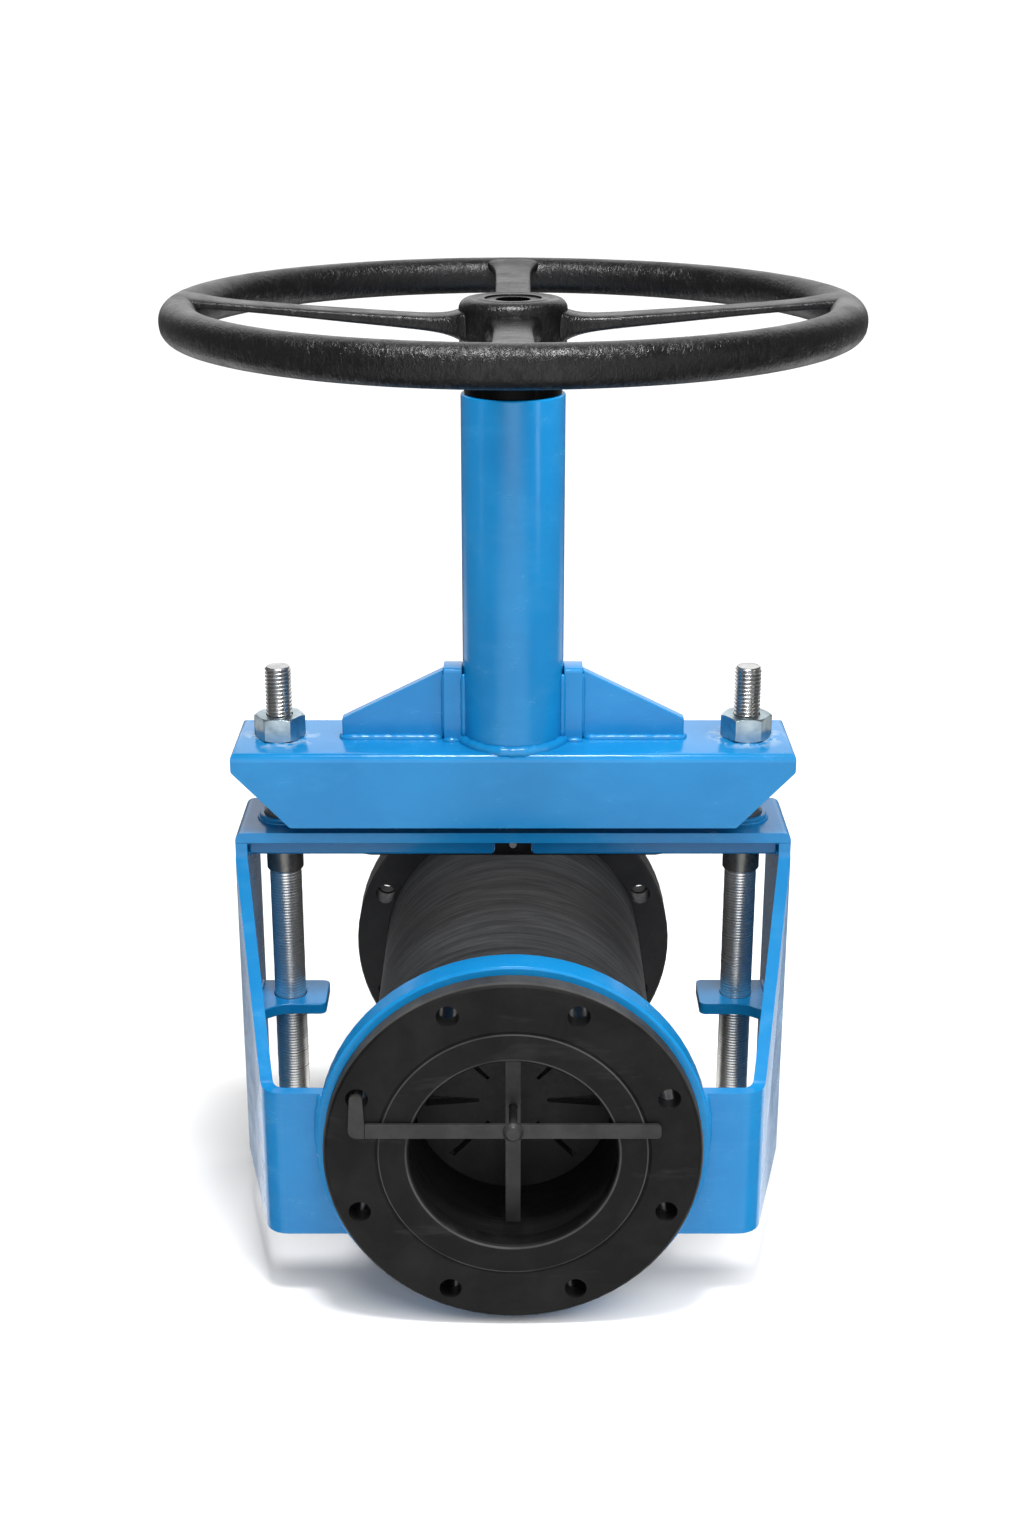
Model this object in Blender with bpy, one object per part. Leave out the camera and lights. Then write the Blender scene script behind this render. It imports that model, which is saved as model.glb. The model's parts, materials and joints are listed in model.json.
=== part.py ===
"""Open-body pinch valve, manual, DN150, centre closing.

Frame: the pipe axis is Y, the spindle axis is Z, both through the origin; X runs across the
valve.  The inlet face looks along -Y.  All sizes are metres and the valve is fully open.
"""
import math

import bmesh
import bpy
import numpy as np

# ---------------------------------------------------------------- driving sizes
FIT = 0.0003                 # gap left between two pieces that touch or are welded
RUN = 0.0003                 # radial running clearance of turning and sliding fits

# pipe line
BORE_D = 0.150
SLEEVE_WALL = 0.035
FACE_TO_FACE = 0.400
RUBBER_FLANGE_D = 0.273
RUBBER_FLANGE_T = 0.014
RING_D = 0.285
RING_T = 0.023
BOLT_CIRCLE_D = 0.240
BOLT_COUNT = 8
RUBBER_HOLE_D = 0.016
RING_HOLE_D = 0.0175
SEAL_GROOVE_D = 0.196
SEAL_GROOVE_DEPTH = 0.0012
SEAL_GROOVE_W = 0.003

# travel
JAW_OPEN_Z = 0.1515          # underside of the upper jaw with the valve open
NOSE_CLEAR = 0.0008          # gap between the sleeve and the lower jaw
UPPER_STROKE = 0.115         # travel of the upper jaw, downward
YOKE_STROKE = 0.075          # travel of the yoke and the lower jaw, upward

# tie rods, which set the width of the frame and the yoke
ROD_SPACING = 0.356
ROD_D = 0.025

# frame
FRAME_HALF_W = ROD_SPACING / 2 + 0.0335        # outer face of the side plates
FRAME_TOP_Z = 0.183
FRAME_BOTTOM_Z = -0.088
FRAME_PLATE_T = 0.009
FRAME_BEND_R = 0.018         # outside radius of the front bend
FRAME_MID_FRONT_Y = -0.038   # bend line between the middle and the slanted part
FRAME_REAR_Y = 0.040
FRAME_FRONT_HALF_W = ROD_SPACING / 2 + 0.004   # outer face at the front bend
FRAME_SHOULDER_Z = 0.030     # top edge of the front plates
TOP_PLATE_T = 0.008
TOP_PLATE_HALF_DEPTH = 0.036
RAIL_W = 0.011
RAIL_SET_BACK = 0.0055       # rail face behind the edge of the top plate
RAIL_H = 0.0115
RAIL_GAP_HALF = 0.0137
LUG_TOP_Z = 0.032
LUG_T = 0.009
LUG_HALF_DEPTH = 0.022
LUG_REACH_X = ROD_SPACING / 2 - 0.030

# yoke
STUD_D = 0.020
NUT_AF = 0.034
NUT_H = 0.0180
BEAM_TOP_Z = 0.2487
BEAM_BOTTOM_Z = BEAM_TOP_Z - 0.0587
STUD_TOP_Z = BEAM_TOP_Z + 0.0563
BEAM_HALF_L = ROD_SPACING / 2 + 0.0335
BEAM_BOTTOM_HALF_L = ROD_SPACING / 2 - 0.0095
BEAM_END_H = 0.0142
BEAM_DEPTH = 0.0868
BEAM_PLATE_T = 0.008
BUSH_D = ROD_D + 0.0035
BUSH_TOP_Z = 0.205
BUSH_BOTTOM_Z = 0.141
BOSS_D = BUSH_D + 0.0085
BOSS_H = 0.004

# column and drive
COLUMN_D = 0.0761
COLUMN_WALL = 0.005
COLUMN_TOP_Z = BEAM_TOP_Z + 0.2623
PAD_OUT_X = COLUMN_D / 2 + 0.01445
PAD_TOP_Z = BEAM_TOP_Z + 0.0573
PAD_HALF_DEPTH = 0.0115
WEB_OUT_X = 0.130
WEB_TOP_Z = BEAM_TOP_Z + 0.0543
WEB_OUT_Z = BEAM_TOP_Z + 0.0158
WEB_T = 0.010
COLLAR_D = COLUMN_D - 0.0051
COLLAR_H = 0.010
HOUSING_H = 0.118
SPINDLE_D = 0.024
SPINDLE_TOP_Z = COLUMN_TOP_Z + 0.060
DRIVE_SLEEVE_D = 0.036
DRIVE_FLANGE_D = COLUMN_D - 0.0161
DRIVE_FLANGE_T = 0.010
STEM_NUT_D = COLUMN_D - 0.0221
STEM_NUT_H = 0.022
THRUST_D = COLUMN_D - 0.0161
THRUST_T = 0.0055

# handwheel
WHEEL_D = 0.500
RIM_D = 0.0285
RIM_Z = COLUMN_TOP_Z + 0.056
HUB_D = 0.078
HUB_TOP_Z = COLUMN_TOP_Z + 0.068
HUB_RECESS_D = 0.041
HUB_RECESS_DEPTH = 0.005
SPOKE_ROOT_Z = COLUMN_TOP_Z + 0.0483
SPOKE_TIP_Z = COLUMN_TOP_Z + 0.0655
SPOKE_W = 0.0285
SPOKE_T = 0.0105
KEY_W = 0.006

# jaws
JAW_T = 0.030
JAW_TOP_Z = 0.172
JAW_HALF_L = 0.150
JAW_NOSE_HALF_L = 0.103
LOWER_BEAM_BOTTOM_Z = -0.1420
LOWER_BEAM_H = 0.0135
LOWER_BEAM_HALF_L = ROD_SPACING / 2 + 0.021
LOWER_BEAM_DEPTH = 0.050
JAM_NUT_H = 0.016
PIN_D = 0.006
PIN_DOWN = 0.0075            # pin below the top of the upper jaw
SOCKET_UP = 0.006            # bottom of the spindle socket above the underside

# transit bracing
STRAP_W = 0.0110
STRAP_T = 0.0030
STRAP_Z = 0.0215
STRAP_HALF_L = 0.1055
POST_W = 0.0110
POST_T = 0.0050
POST_Y = -0.168
SCREW_D = 0.006
PLUG_Y = -0.119
PLUG_T = 0.010

# ---------------------------------------------------------------- values that follow
BORE_R = BORE_D / 2
SLEEVE_R = BORE_R + SLEEVE_WALL
FACE_Y = FACE_TO_FACE / 2
NECK_Y = FACE_Y - RUBBER_FLANGE_T
ROD_X = ROD_SPACING / 2
FRAME_INNER_X = FRAME_HALF_W - FRAME_PLATE_T
TOP_PLATE_BOTTOM_Z = FRAME_TOP_Z - TOP_PLATE_T
RING_BACK_Y = NECK_Y - RING_T
COLLAR_TOP_Z = COLUMN_TOP_Z + COLLAR_H
HUB_BOTTOM_Z = COLLAR_TOP_Z + 0.001
HOUSING_BOTTOM_Z = COLUMN_TOP_Z - HOUSING_H
SLEEVE_BORE_R = SPINDLE_D / 2 + 0.0005


# ---------------------------------------------------------------- mesh helpers
def clear_scene():
    """Remove every object of the start-up scene."""
    for obj in list(bpy.data.objects):
        bpy.data.objects.remove(obj, do_unlink=True)


def make_material(name, colour, roughness, metallic):
    """Return a plain surface with the given colour, roughness and metallic value."""
    mat = bpy.data.materials.new(name)
    mat.use_nodes = True
    shader = mat.node_tree.nodes["Principled BSDF"]
    shader.inputs["Base Color"].default_value = (*colour, 1.0)
    shader.inputs["Roughness"].default_value = roughness
    shader.inputs["Metallic"].default_value = metallic
    return mat


def add_mesh(name, verts, faces, material, location=(0.0, 0.0, 0.0)):
    """Make one named object whose faces all look outward."""
    mesh = bpy.data.meshes.new(name)
    mesh.from_pydata([tuple(float(c) for c in v) for v in verts], [], faces)
    work = bmesh.new()
    work.from_mesh(mesh)
    bmesh.ops.remove_doubles(work, verts=work.verts, dist=1e-7)
    bmesh.ops.recalc_face_normals(work, faces=work.faces)
    work.to_mesh(mesh)
    work.free()
    mesh.materials.append(material)
    obj = bpy.data.objects.new(name, mesh)
    obj.location = location
    bpy.context.scene.collection.objects.link(obj)
    return obj


def on_axis(axis, u, v, w):
    """Place a section point (u, v) at the distance w along the named axis."""
    return {"X": (w, u, v), "Y": (u, w, v), "Z": (u, v, w)}[axis]


def prism(name, outline, axis, low, high, material, location=(0.0, 0.0, 0.0)):
    """Extrude a closed outline along an axis; the section is (Y,Z), (X,Z) or (X,Y)."""
    count = len(outline)
    verts = [on_axis(axis, u, v, w) for w in (low, high) for u, v in outline]
    faces = [list(range(count)), list(range(2 * count - 1, count - 1, -1))]
    for i in range(count):
        j = (i + 1) % count
        faces.append([i, j, count + j, count + i])
    return add_mesh(name, verts, faces, material, location)


def box(name, xs, ys, zs, material, location=(0.0, 0.0, 0.0)):
    """Make a box from its three ranges."""
    outline = [(xs[0], ys[0]), (xs[1], ys[0]), (xs[1], ys[1]), (xs[0], ys[1])]
    return prism(name, outline, "Z", zs[0], zs[1], material, location)


def lathe(name, profile, axis, material, segments=48, location=(0.0, 0.0, 0.0)):
    """Turn a closed profile of (radius, distance) points about an axis."""
    verts, rings = [], []
    for radius, dist in profile:
        if radius < 1e-9:
            rings.append([len(verts)])
            verts.append(on_axis(axis, 0.0, 0.0, dist))
            continue
        start = len(verts)
        for k in range(segments):
            angle = 2 * math.pi * (k + 0.5) / segments
            verts.append(on_axis(axis, radius * math.cos(angle), radius * math.sin(angle), dist))
        rings.append(list(range(start, start + segments)))
    faces = []
    for a, b in zip(rings, rings[1:] + rings[:1]):
        if len(a) == 1 and len(b) == 1:
            continue
        for k in range(segments):
            n = (k + 1) % segments
            if len(a) == 1:
                faces.append([a[0], b[k], b[n]])
            elif len(b) == 1:
                faces.append([a[k], b[0], a[n]])
            else:
                faces.append([a[k], b[k], b[n], a[n]])
    return add_mesh(name, verts, faces, material, location)


def ring(name, outer_r, inner_r, axis, low, high, material, segments=48, chamfer=0.0,
         location=(0.0, 0.0, 0.0)):
    """Make a plain ring, with its outer edges broken by a chamfer if one is given."""
    c = chamfer
    profile = [(inner_r, low), (outer_r - c, low), (outer_r, low + c),
               (outer_r, high - c), (outer_r - c, high), (inner_r, high)]
    if c == 0.0:
        profile = [(inner_r, low), (outer_r, low), (outer_r, high), (inner_r, high)]
    return lathe(name, profile, axis, material, segments, location)


def combine(target, others, operation):
    """Join or cut the target with other objects, then remove those objects."""
    for other in others:
        mod = target.modifiers.new("shape", "BOOLEAN")
        mod.operation = operation
        mod.solver = "EXACT"
        mod.object = other
        bpy.context.view_layer.update()
        graph = bpy.context.evaluated_depsgraph_get()
        made = bpy.data.meshes.new_from_object(target.evaluated_get(graph))
        target.modifiers.clear()
        old = target.data
        target.data = made
        bpy.data.meshes.remove(old)
        bpy.data.objects.remove(other, do_unlink=True)
    work = bmesh.new()
    work.from_mesh(target.data)
    bmesh.ops.remove_doubles(work, verts=work.verts, dist=2e-6)
    bmesh.ops.dissolve_degenerate(work, edges=work.edges, dist=1e-6)
    work.to_mesh(target.data)
    work.free()
    return target


def cylinder(name, radius, axis, low, high, material, segments=32, location=(0.0, 0.0, 0.0)):
    """Make a solid round bar."""
    profile = [(0.0, low), (radius, low), (radius, high), (0.0, high)]
    return lathe(name, profile, axis, material, segments, location)


def rounded_outline(points, radii, steps=6):
    """Round the corners of a closed outline; a radius of zero keeps the corner."""
    out = []
    count = len(points)
    for i in range(count):
        p = np.array(points[i], float)
        radius = radii[i]
        if radius <= 0:
            out.append(tuple(p))
            continue
        a = np.array(points[i - 1], float) - p
        b = np.array(points[(i + 1) % count], float) - p
        a /= np.linalg.norm(a)
        b /= np.linalg.norm(b)
        half = math.acos(max(-1.0, min(1.0, float(a @ b)))) / 2
        reach = radius / math.tan(half)
        centre = p + (a + b) / np.linalg.norm(a + b) * radius / math.sin(half)
        start, end = p + a * reach - centre, p + b * reach - centre
        angle = math.acos(max(-1.0, min(1.0, float(start @ end) / radius ** 2)))
        for k in range(steps + 1):
            t = k / steps
            v = (math.sin((1 - t) * angle) * start + math.sin(t * angle) * end) / math.sin(angle)
            out.append(tuple(centre + v))
    return out


def hexagon(across_flats):
    """Return the outline of a hexagon with two corners on the first axis."""
    r = across_flats / math.sqrt(3)
    return [(r * math.cos(math.pi * k / 3), r * math.sin(math.pi * k / 3)) for k in range(6)]


def nut(name, across_flats, hole_r, low, height, material, location):
    """Make a hexagon nut with chamfered corners."""
    body = prism(name, hexagon(across_flats), "Z", low, low + height, material, location)
    corner = across_flats / math.sqrt(3)
    c = corner - across_flats / 2
    cone = [(0.0, low - 0.001), (corner - c, low - 0.001), (corner - c + 0.0003, low),
            (corner + 0.0004, low + 0.6 * c), (corner + 0.0004, low + height - 0.6 * c),
            (corner - c + 0.0003, low + height), (corner - c, low + height + 0.001),
            (0.0, low + height + 0.001)]
    combine(body, [lathe("cone", cone, "Z", material, 36, location)], "INTERSECT")
    hole = cylinder("hole", hole_r, "Z", low - 0.01, low + height + 0.01, material, 32, location)
    return combine(body, [hole], "DIFFERENCE")


# ---------------------------------------------------------------- pipe line pieces
def bolt_cutters(radius, low, high, material):
    """Return one round cutter for each bolt hole; the holes straddle the centre lines."""
    cutters = []
    for k in range(BOLT_COUNT):
        angle = 2 * math.pi * (k + 0.5) / BOLT_COUNT
        x = BOLT_CIRCLE_D / 2 * math.cos(angle)
        z = BOLT_CIRCLE_D / 2 * math.sin(angle)
        cutters.append(cylinder("bolt_hole", radius, "Y", low, high, material, 24, (x, 0.0, z)))
    return cutters


def build_sleeve_flange(name, side, rubber):
    """Make a rubber flange with a seal groove and bolt holes; side is -1 front, +1 rear."""
    groove = SEAL_GROOVE_D / 2
    w = SEAL_GROOVE_W / 2
    out, back = FACE_Y, NECK_Y
    r = RUBBER_FLANGE_D / 2
    profile = [(BORE_R, back), (BORE_R, out - 0.002), (BORE_R + 0.002, out),
               (groove - w, out), (groove, out - SEAL_GROOVE_DEPTH), (groove + w, out),
               (r - 0.003, out), (r, out - 0.003), (r, back)]
    profile = [(a, side * b) for a, b in profile]
    flange = lathe(name, profile, "Y", rubber, 72)
    low, high = sorted((side * (back - 0.01), side * (out + 0.01)))
    return combine(flange, bolt_cutters(RUBBER_HOLE_D / 2, low, high, rubber), "DIFFERENCE")


def build_flange_ring(name, side, diameter, paint):
    """Make the steel ring behind a rubber flange."""
    inner = SLEEVE_R + FIT
    low, high = sorted((side * (RING_BACK_Y + FIT), side * (NECK_Y - FIT)))
    body = ring(name, diameter / 2, inner, "Y", low, high, paint, 72, 0.0015)
    cutters = bolt_cutters(RING_HOLE_D / 2, low - 0.01, high + 0.01, paint)
    return combine(body, cutters, "DIFFERENCE")


def build_sleeve_tube(rubber):
    """Make the round rubber tube between the two rubber flanges."""
    end = NECK_Y - FIT
    stations = np.linspace(-end, end, 7)
    outer = [(SLEEVE_R, y) for y in stations]
    inner = [(BORE_R, y) for y in stations[::-1]]
    return lathe("sleeve_tube", outer + inner, "Y", rubber, 64)


# ---------------------------------------------------------------- frame pieces
def side_plate_outline(side):
    """Return the plan of one bent side plate, outer line forward and inner line back."""
    t = FRAME_PLATE_T
    slope = (FRAME_HALF_W - FRAME_FRONT_HALF_W) / (FRAME_MID_FRONT_Y + RING_BACK_Y)
    across = t * math.sqrt(1 + slope ** 2)
    front = -RING_BACK_Y
    inner_bend_y = FRAME_MID_FRONT_Y - (t - across) / slope if slope else FRAME_MID_FRONT_Y
    inner_front_x = FRAME_FRONT_HALF_W + slope * t - across
    end_x = 0.070
    points = [(FRAME_HALF_W, FRAME_REAR_Y), (FRAME_HALF_W, FRAME_MID_FRONT_Y),
              (FRAME_FRONT_HALF_W, front), (end_x, front), (end_x, front + t),
              (inner_front_x, front + t), (FRAME_INNER_X, inner_bend_y),
              (FRAME_INNER_X, FRAME_REAR_Y)]
    radii = [0.0, 0.0, FRAME_BEND_R, 0.0, 0.0, FRAME_BEND_R - FRAME_PLATE_T, 0.0, 0.0]
    return [(side * x, y) for x, y in rounded_outline(points, radii, 6)]


def build_side_plate(name, side, paint):
    """Make one side plate: middle, slanted part and front plate bent from one sheet."""
    top = TOP_PLATE_BOTTOM_Z - FIT
    plate = prism(name, side_plate_outline(side), "Z", FRAME_BOTTOM_Z, top, paint)
    front = -RING_BACK_Y
    window = rounded_outline(
        [(FRAME_MID_FRONT_Y + 0.004, 0.30), (FRAME_MID_FRONT_Y + 0.002, top - 0.010),
         (front + FRAME_PLATE_T + 0.004, FRAME_SHOULDER_Z), (-0.30, FRAME_SHOULDER_Z),
         (-0.30, 0.30)],
        [0.0, 0.012, 0.010, 0.0, 0.0], 5)
    low, high = sorted((side * 0.02, side * 0.30))
    cutters = [prism("window", window, "X", low, high, paint),
               cylinder("neck", SLEEVE_R + 0.006, "Y", -0.25, -0.10, paint, 96)]
    cutters += bolt_cutters(RING_HOLE_D / 2, -0.25, -0.10, paint)
    return combine(plate, cutters, "DIFFERENCE")


def build_top_plate(paint):
    """Make the plate across the top with its bush holes and spindle hole."""
    xs = (-FRAME_HALF_W, FRAME_HALF_W)
    outline = [(xs[0], -TOP_PLATE_HALF_DEPTH), (xs[1], -TOP_PLATE_HALF_DEPTH),
               (xs[1], FRAME_REAR_Y), (xs[0], FRAME_REAR_Y)]
    section = rounded_outline(
        [(xs[0], TOP_PLATE_BOTTOM_Z), (xs[1], TOP_PLATE_BOTTOM_Z), (xs[1], FRAME_TOP_Z),
         (xs[0], FRAME_TOP_Z)], [0.0, 0.0, 0.006, 0.006], 5)
    plate = prism("top_plate", section, "Y", outline[0][1], outline[2][1], paint)
    low, high = TOP_PLATE_BOTTOM_Z - 0.01, FRAME_TOP_Z + 0.01
    cutters = [cylinder("hole", BUSH_D / 2 + FIT, "Z", low, high, paint, 32, (s * ROD_X, 0, 0))
               for s in (-1, 1)]
    cutters.append(cylinder("hole", SPINDLE_D / 2 + 0.003, "Z", low, high, paint, 32))
    return combine(plate, cutters, "DIFFERENCE")


def build_rail(name, side, row, paint):
    """Make one guide rail under the top plate; row is -1 front, +1 rear."""
    top = TOP_PLATE_BOTTOM_Z - FIT
    outer_x = FRAME_INNER_X - FIT
    face = TOP_PLATE_HALF_DEPTH - RAIL_SET_BACK
    ys = sorted((row * face, row * (face - RAIL_W)))
    outline = rounded_outline(
        [(RAIL_GAP_HALF, top - RAIL_H), (outer_x, top - RAIL_H), (outer_x, top),
         (RAIL_GAP_HALF, top)], [0.004, 0.0, 0.0, 0.0], 5)
    outline = [(side * x, z) for x, z in outline]
    return prism(name, outline, "Y", ys[0], ys[1], paint)


def build_lug(name, side, paint):
    """Make the horizontal lug that steadies a tie rod, with a fillet toward the front."""
    wall = FRAME_INNER_X - FIT
    d = LUG_HALF_DEPTH
    points = [(LUG_REACH_X, -d), (wall - 0.020, -d), (wall, FRAME_MID_FRONT_Y + 0.001),
              (wall, d), (LUG_REACH_X, d)]
    outline = rounded_outline(points, [0.005, 0.022, 0.0, 0.0, 0.005], 6)
    outline = [(side * x, y) for x, y in outline]
    lug = prism(name, outline, "Z", LUG_TOP_Z - LUG_T, LUG_TOP_Z, paint)
    hole = cylinder("hole", ROD_D / 2 + RUN, "Z", 0.0, 0.06, paint, 40, (side * ROD_X, 0, 0))
    return combine(lug, [hole], "DIFFERENCE")


# ---------------------------------------------------------------- yoke pieces
def build_beam(paint):
    """Make the cross beam, an inverted channel with slanted lower ends."""
    end_z = BEAM_TOP_Z - BEAM_END_H
    points = [(-BEAM_HALF_L, BEAM_TOP_Z), (-BEAM_HALF_L, end_z),
              (-BEAM_BOTTOM_HALF_L, BEAM_BOTTOM_Z), (BEAM_BOTTOM_HALF_L, BEAM_BOTTOM_Z),
              (BEAM_HALF_L, end_z), (BEAM_HALF_L, BEAM_TOP_Z)]
    outline = rounded_outline(points, [0.004, 0.004, 0.004, 0.004, 0.004, 0.004], 4)
    half = BEAM_DEPTH / 2
    beam = prism("yoke_beam", outline, "Y", -half, half, paint)
    section = rounded_outline(
        [(-half, 0.10), (half, 0.10), (half, BEAM_TOP_Z), (-half, BEAM_TOP_Z)],
        [0.0, 0.0, 0.006, 0.006], 5)
    combine(beam, [prism("section", section, "X", -0.3, 0.3, paint)], "INTERSECT")
    inner = half - BEAM_PLATE_T
    hollow = [(-inner, 0.10), (inner, 0.10), (inner, BEAM_TOP_Z - BEAM_PLATE_T),
              (-inner, BEAM_TOP_Z - BEAM_PLATE_T)]
    low, high = BEAM_TOP_Z - 0.03, BEAM_TOP_Z + 0.01
    cutters = [prism("hollow", hollow, "X", -0.3, 0.3, paint)]
    cutters += [cylinder("hole", STUD_D / 2 + FIT, "Z", low, high, paint, 32,
                         (s * ROD_X, 0, 0)) for s in (-1, 1)]
    cutters.append(cylinder("hole", SPINDLE_D / 2 + 0.004, "Z", low, high, paint, 32))
    return combine(beam, cutters, "DIFFERENCE")


def build_pad(name, side, paint):
    """Make the upright pad between the column and a gusset web."""
    inner = COLUMN_D / 2 + FIT
    xs = sorted((side * inner, side * PAD_OUT_X))
    points = [(-PAD_HALF_DEPTH, BEAM_TOP_Z + FIT), (PAD_HALF_DEPTH, BEAM_TOP_Z + FIT),
              (PAD_HALF_DEPTH, PAD_TOP_Z), (-PAD_HALF_DEPTH, PAD_TOP_Z)]
    outline = rounded_outline(points, [0.0, 0.0, 0.003, 0.003], 3)
    return prism(name, outline, "X", xs[0], xs[1], paint)


def build_web(name, side, paint):
    """Make the sloping gusset web on the beam."""
    x0 = PAD_OUT_X + FIT
    z0 = BEAM_TOP_Z + FIT
    outline = [(x0, z0), (WEB_OUT_X, z0), (WEB_OUT_X, WEB_OUT_Z), (x0, WEB_TOP_Z)]
    outline = [(side * x, z) for x, z in outline]
    return prism(name, outline, "Y", -WEB_T / 2, WEB_T / 2, paint)


def build_tie_rod(name, side, steel):
    """Make a tie rod: thick in the frame and jaw, stepped down to a stud at the top."""
    r, s = ROD_D / 2, STUD_D / 2
    shoulder = BEAM_TOP_Z - BEAM_PLATE_T - FIT
    bottom = LOWER_BEAM_BOTTOM_Z + 0.001
    profile = [(0.0, bottom), (r - 0.002, bottom), (r, bottom + 0.002), (r, shoulder - 0.001),
               (r - 0.001, shoulder), (s, shoulder), (s, STUD_TOP_Z - 0.002),
               (s - 0.002, STUD_TOP_Z), (0.0, STUD_TOP_Z)]
    return lathe(name, profile, "Z", steel, 40, (side * ROD_X, 0.0, 0.0))


def build_lower_beam(paint):
    """Make the beam under the sleeve that carries the lower pinch nose."""
    top = LOWER_BEAM_BOTTOM_Z + LOWER_BEAM_H
    outline = rounded_outline(
        [(-LOWER_BEAM_HALF_L, -LOWER_BEAM_DEPTH / 2), (LOWER_BEAM_HALF_L, -LOWER_BEAM_DEPTH / 2),
         (LOWER_BEAM_HALF_L, LOWER_BEAM_DEPTH / 2), (-LOWER_BEAM_HALF_L, LOWER_BEAM_DEPTH / 2)],
        [0.008] * 4, 4)
    beam = prism("lower_jaw_beam", outline, "Z", LOWER_BEAM_BOTTOM_Z, top, paint)
    cutters = [cylinder("hole", ROD_D / 2 + FIT, "Z", -0.2, 0.0, paint, 40, (s * ROD_X, 0, 0))
               for s in (-1, 1)]
    return combine(beam, cutters, "DIFFERENCE")


def nose_section(base_z, nose_z):
    """Return the (Y,Z) section of a pinch bar with a half-round nose."""
    half = JAW_T / 2
    sign = 1.0 if nose_z > base_z else -1.0
    centre = nose_z - sign * half
    arc = [(half * math.cos(math.pi * k / 12), centre + sign * half * math.sin(math.pi * k / 12))
           for k in range(13)]
    return [(-half, base_z), (half, base_z)] + arc


def build_lower_nose(steel):
    """Make the half-round pinch nose on the lower beam."""
    base = LOWER_BEAM_BOTTOM_Z + LOWER_BEAM_H + FIT
    return prism("lower_jaw_nose", nose_section(base, -SLEEVE_R - NOSE_CLEAR), "X", -JAW_HALF_L,
                 JAW_HALF_L, steel)


def build_housing(black):
    """Make the bearing housing pushed into the column, with its collar on top."""
    body_r = COLUMN_D / 2 - COLUMN_WALL - FIT
    bore = DRIVE_SLEEVE_D / 2 + RUN
    seat = THRUST_D / 2 + RUN
    seat_z = COLLAR_TOP_Z - THRUST_T
    profile = [(bore, HOUSING_BOTTOM_Z), (body_r, HOUSING_BOTTOM_Z), (body_r, COLUMN_TOP_Z + FIT),
               (COLLAR_D / 2, COLUMN_TOP_Z + FIT), (COLLAR_D / 2, COLLAR_TOP_Z - 0.001),
               (COLLAR_D / 2 - 0.001, COLLAR_TOP_Z), (seat, COLLAR_TOP_Z), (seat, seat_z),
               (bore, seat_z)]
    return lathe("bearing_housing", profile, "Z", black, 64)


def build_thrust_ring(name, low, high, bronze):
    """Make one thrust ring for the drive sleeve."""
    return ring(name, THRUST_D / 2, DRIVE_SLEEVE_D / 2 + RUN, "Z", low, high, bronze, 48, 0.0005)


# ---------------------------------------------------------------- drive pieces
def key_cutter(material):
    """Return the box that cuts the keyways."""
    r = DRIVE_SLEEVE_D / 2
    return box("keyway", (r - 0.0030, r + 0.0034), (-KEY_W / 2 - FIT, KEY_W / 2 + FIT),
               (HUB_BOTTOM_Z + 0.004, HUB_TOP_Z + 0.02), material)


def build_drive_sleeve(steel):
    """Make the sleeve that the handwheel turns; it carries the stem nut at its lower end."""
    flange_top = HOUSING_BOTTOM_Z - THRUST_T - 3 * FIT
    flange_low = flange_top - DRIVE_FLANGE_T
    top = HUB_TOP_Z - HUB_RECESS_DEPTH - FIT
    r = DRIVE_SLEEVE_D / 2
    profile = [(SLEEVE_BORE_R, flange_low), (DRIVE_FLANGE_D / 2, flange_low),
               (DRIVE_FLANGE_D / 2, flange_top), (r, flange_top), (r, top), (SLEEVE_BORE_R, top)]
    sleeve = lathe("drive_sleeve", profile, "Z", steel, 48)
    return combine(sleeve, [key_cutter(steel)], "DIFFERENCE")


def build_stem_nut(bronze):
    """Make the bronze nut that runs on the spindle thread."""
    high = HOUSING_BOTTOM_Z - THRUST_T - DRIVE_FLANGE_T - 4 * FIT
    return ring("stem_nut", STEM_NUT_D / 2, SPINDLE_D / 2 + RUN, "Z", high - STEM_NUT_H, high,
                bronze, 40, 0.001)


def build_key(steel):
    """Make the key between the drive sleeve and the handwheel hub."""
    r = DRIVE_SLEEVE_D / 2
    return box("wheel_key", (r - 0.0030 + FIT, r + 0.0034 - FIT), (-KEY_W / 2, KEY_W / 2),
               (HUB_BOTTOM_Z + 0.0045, HUB_TOP_Z - HUB_RECESS_DEPTH - 0.001), steel)


def build_cap_ring(black):
    """Make the flat ring that closes the hub recess."""
    low = HUB_TOP_Z - HUB_RECESS_DEPTH + FIT
    return ring("hub_cap_ring", HUB_RECESS_D / 2 - FIT, SLEEVE_BORE_R, "Z", low, low + 0.003,
                black, 40, 0.0005)


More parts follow.
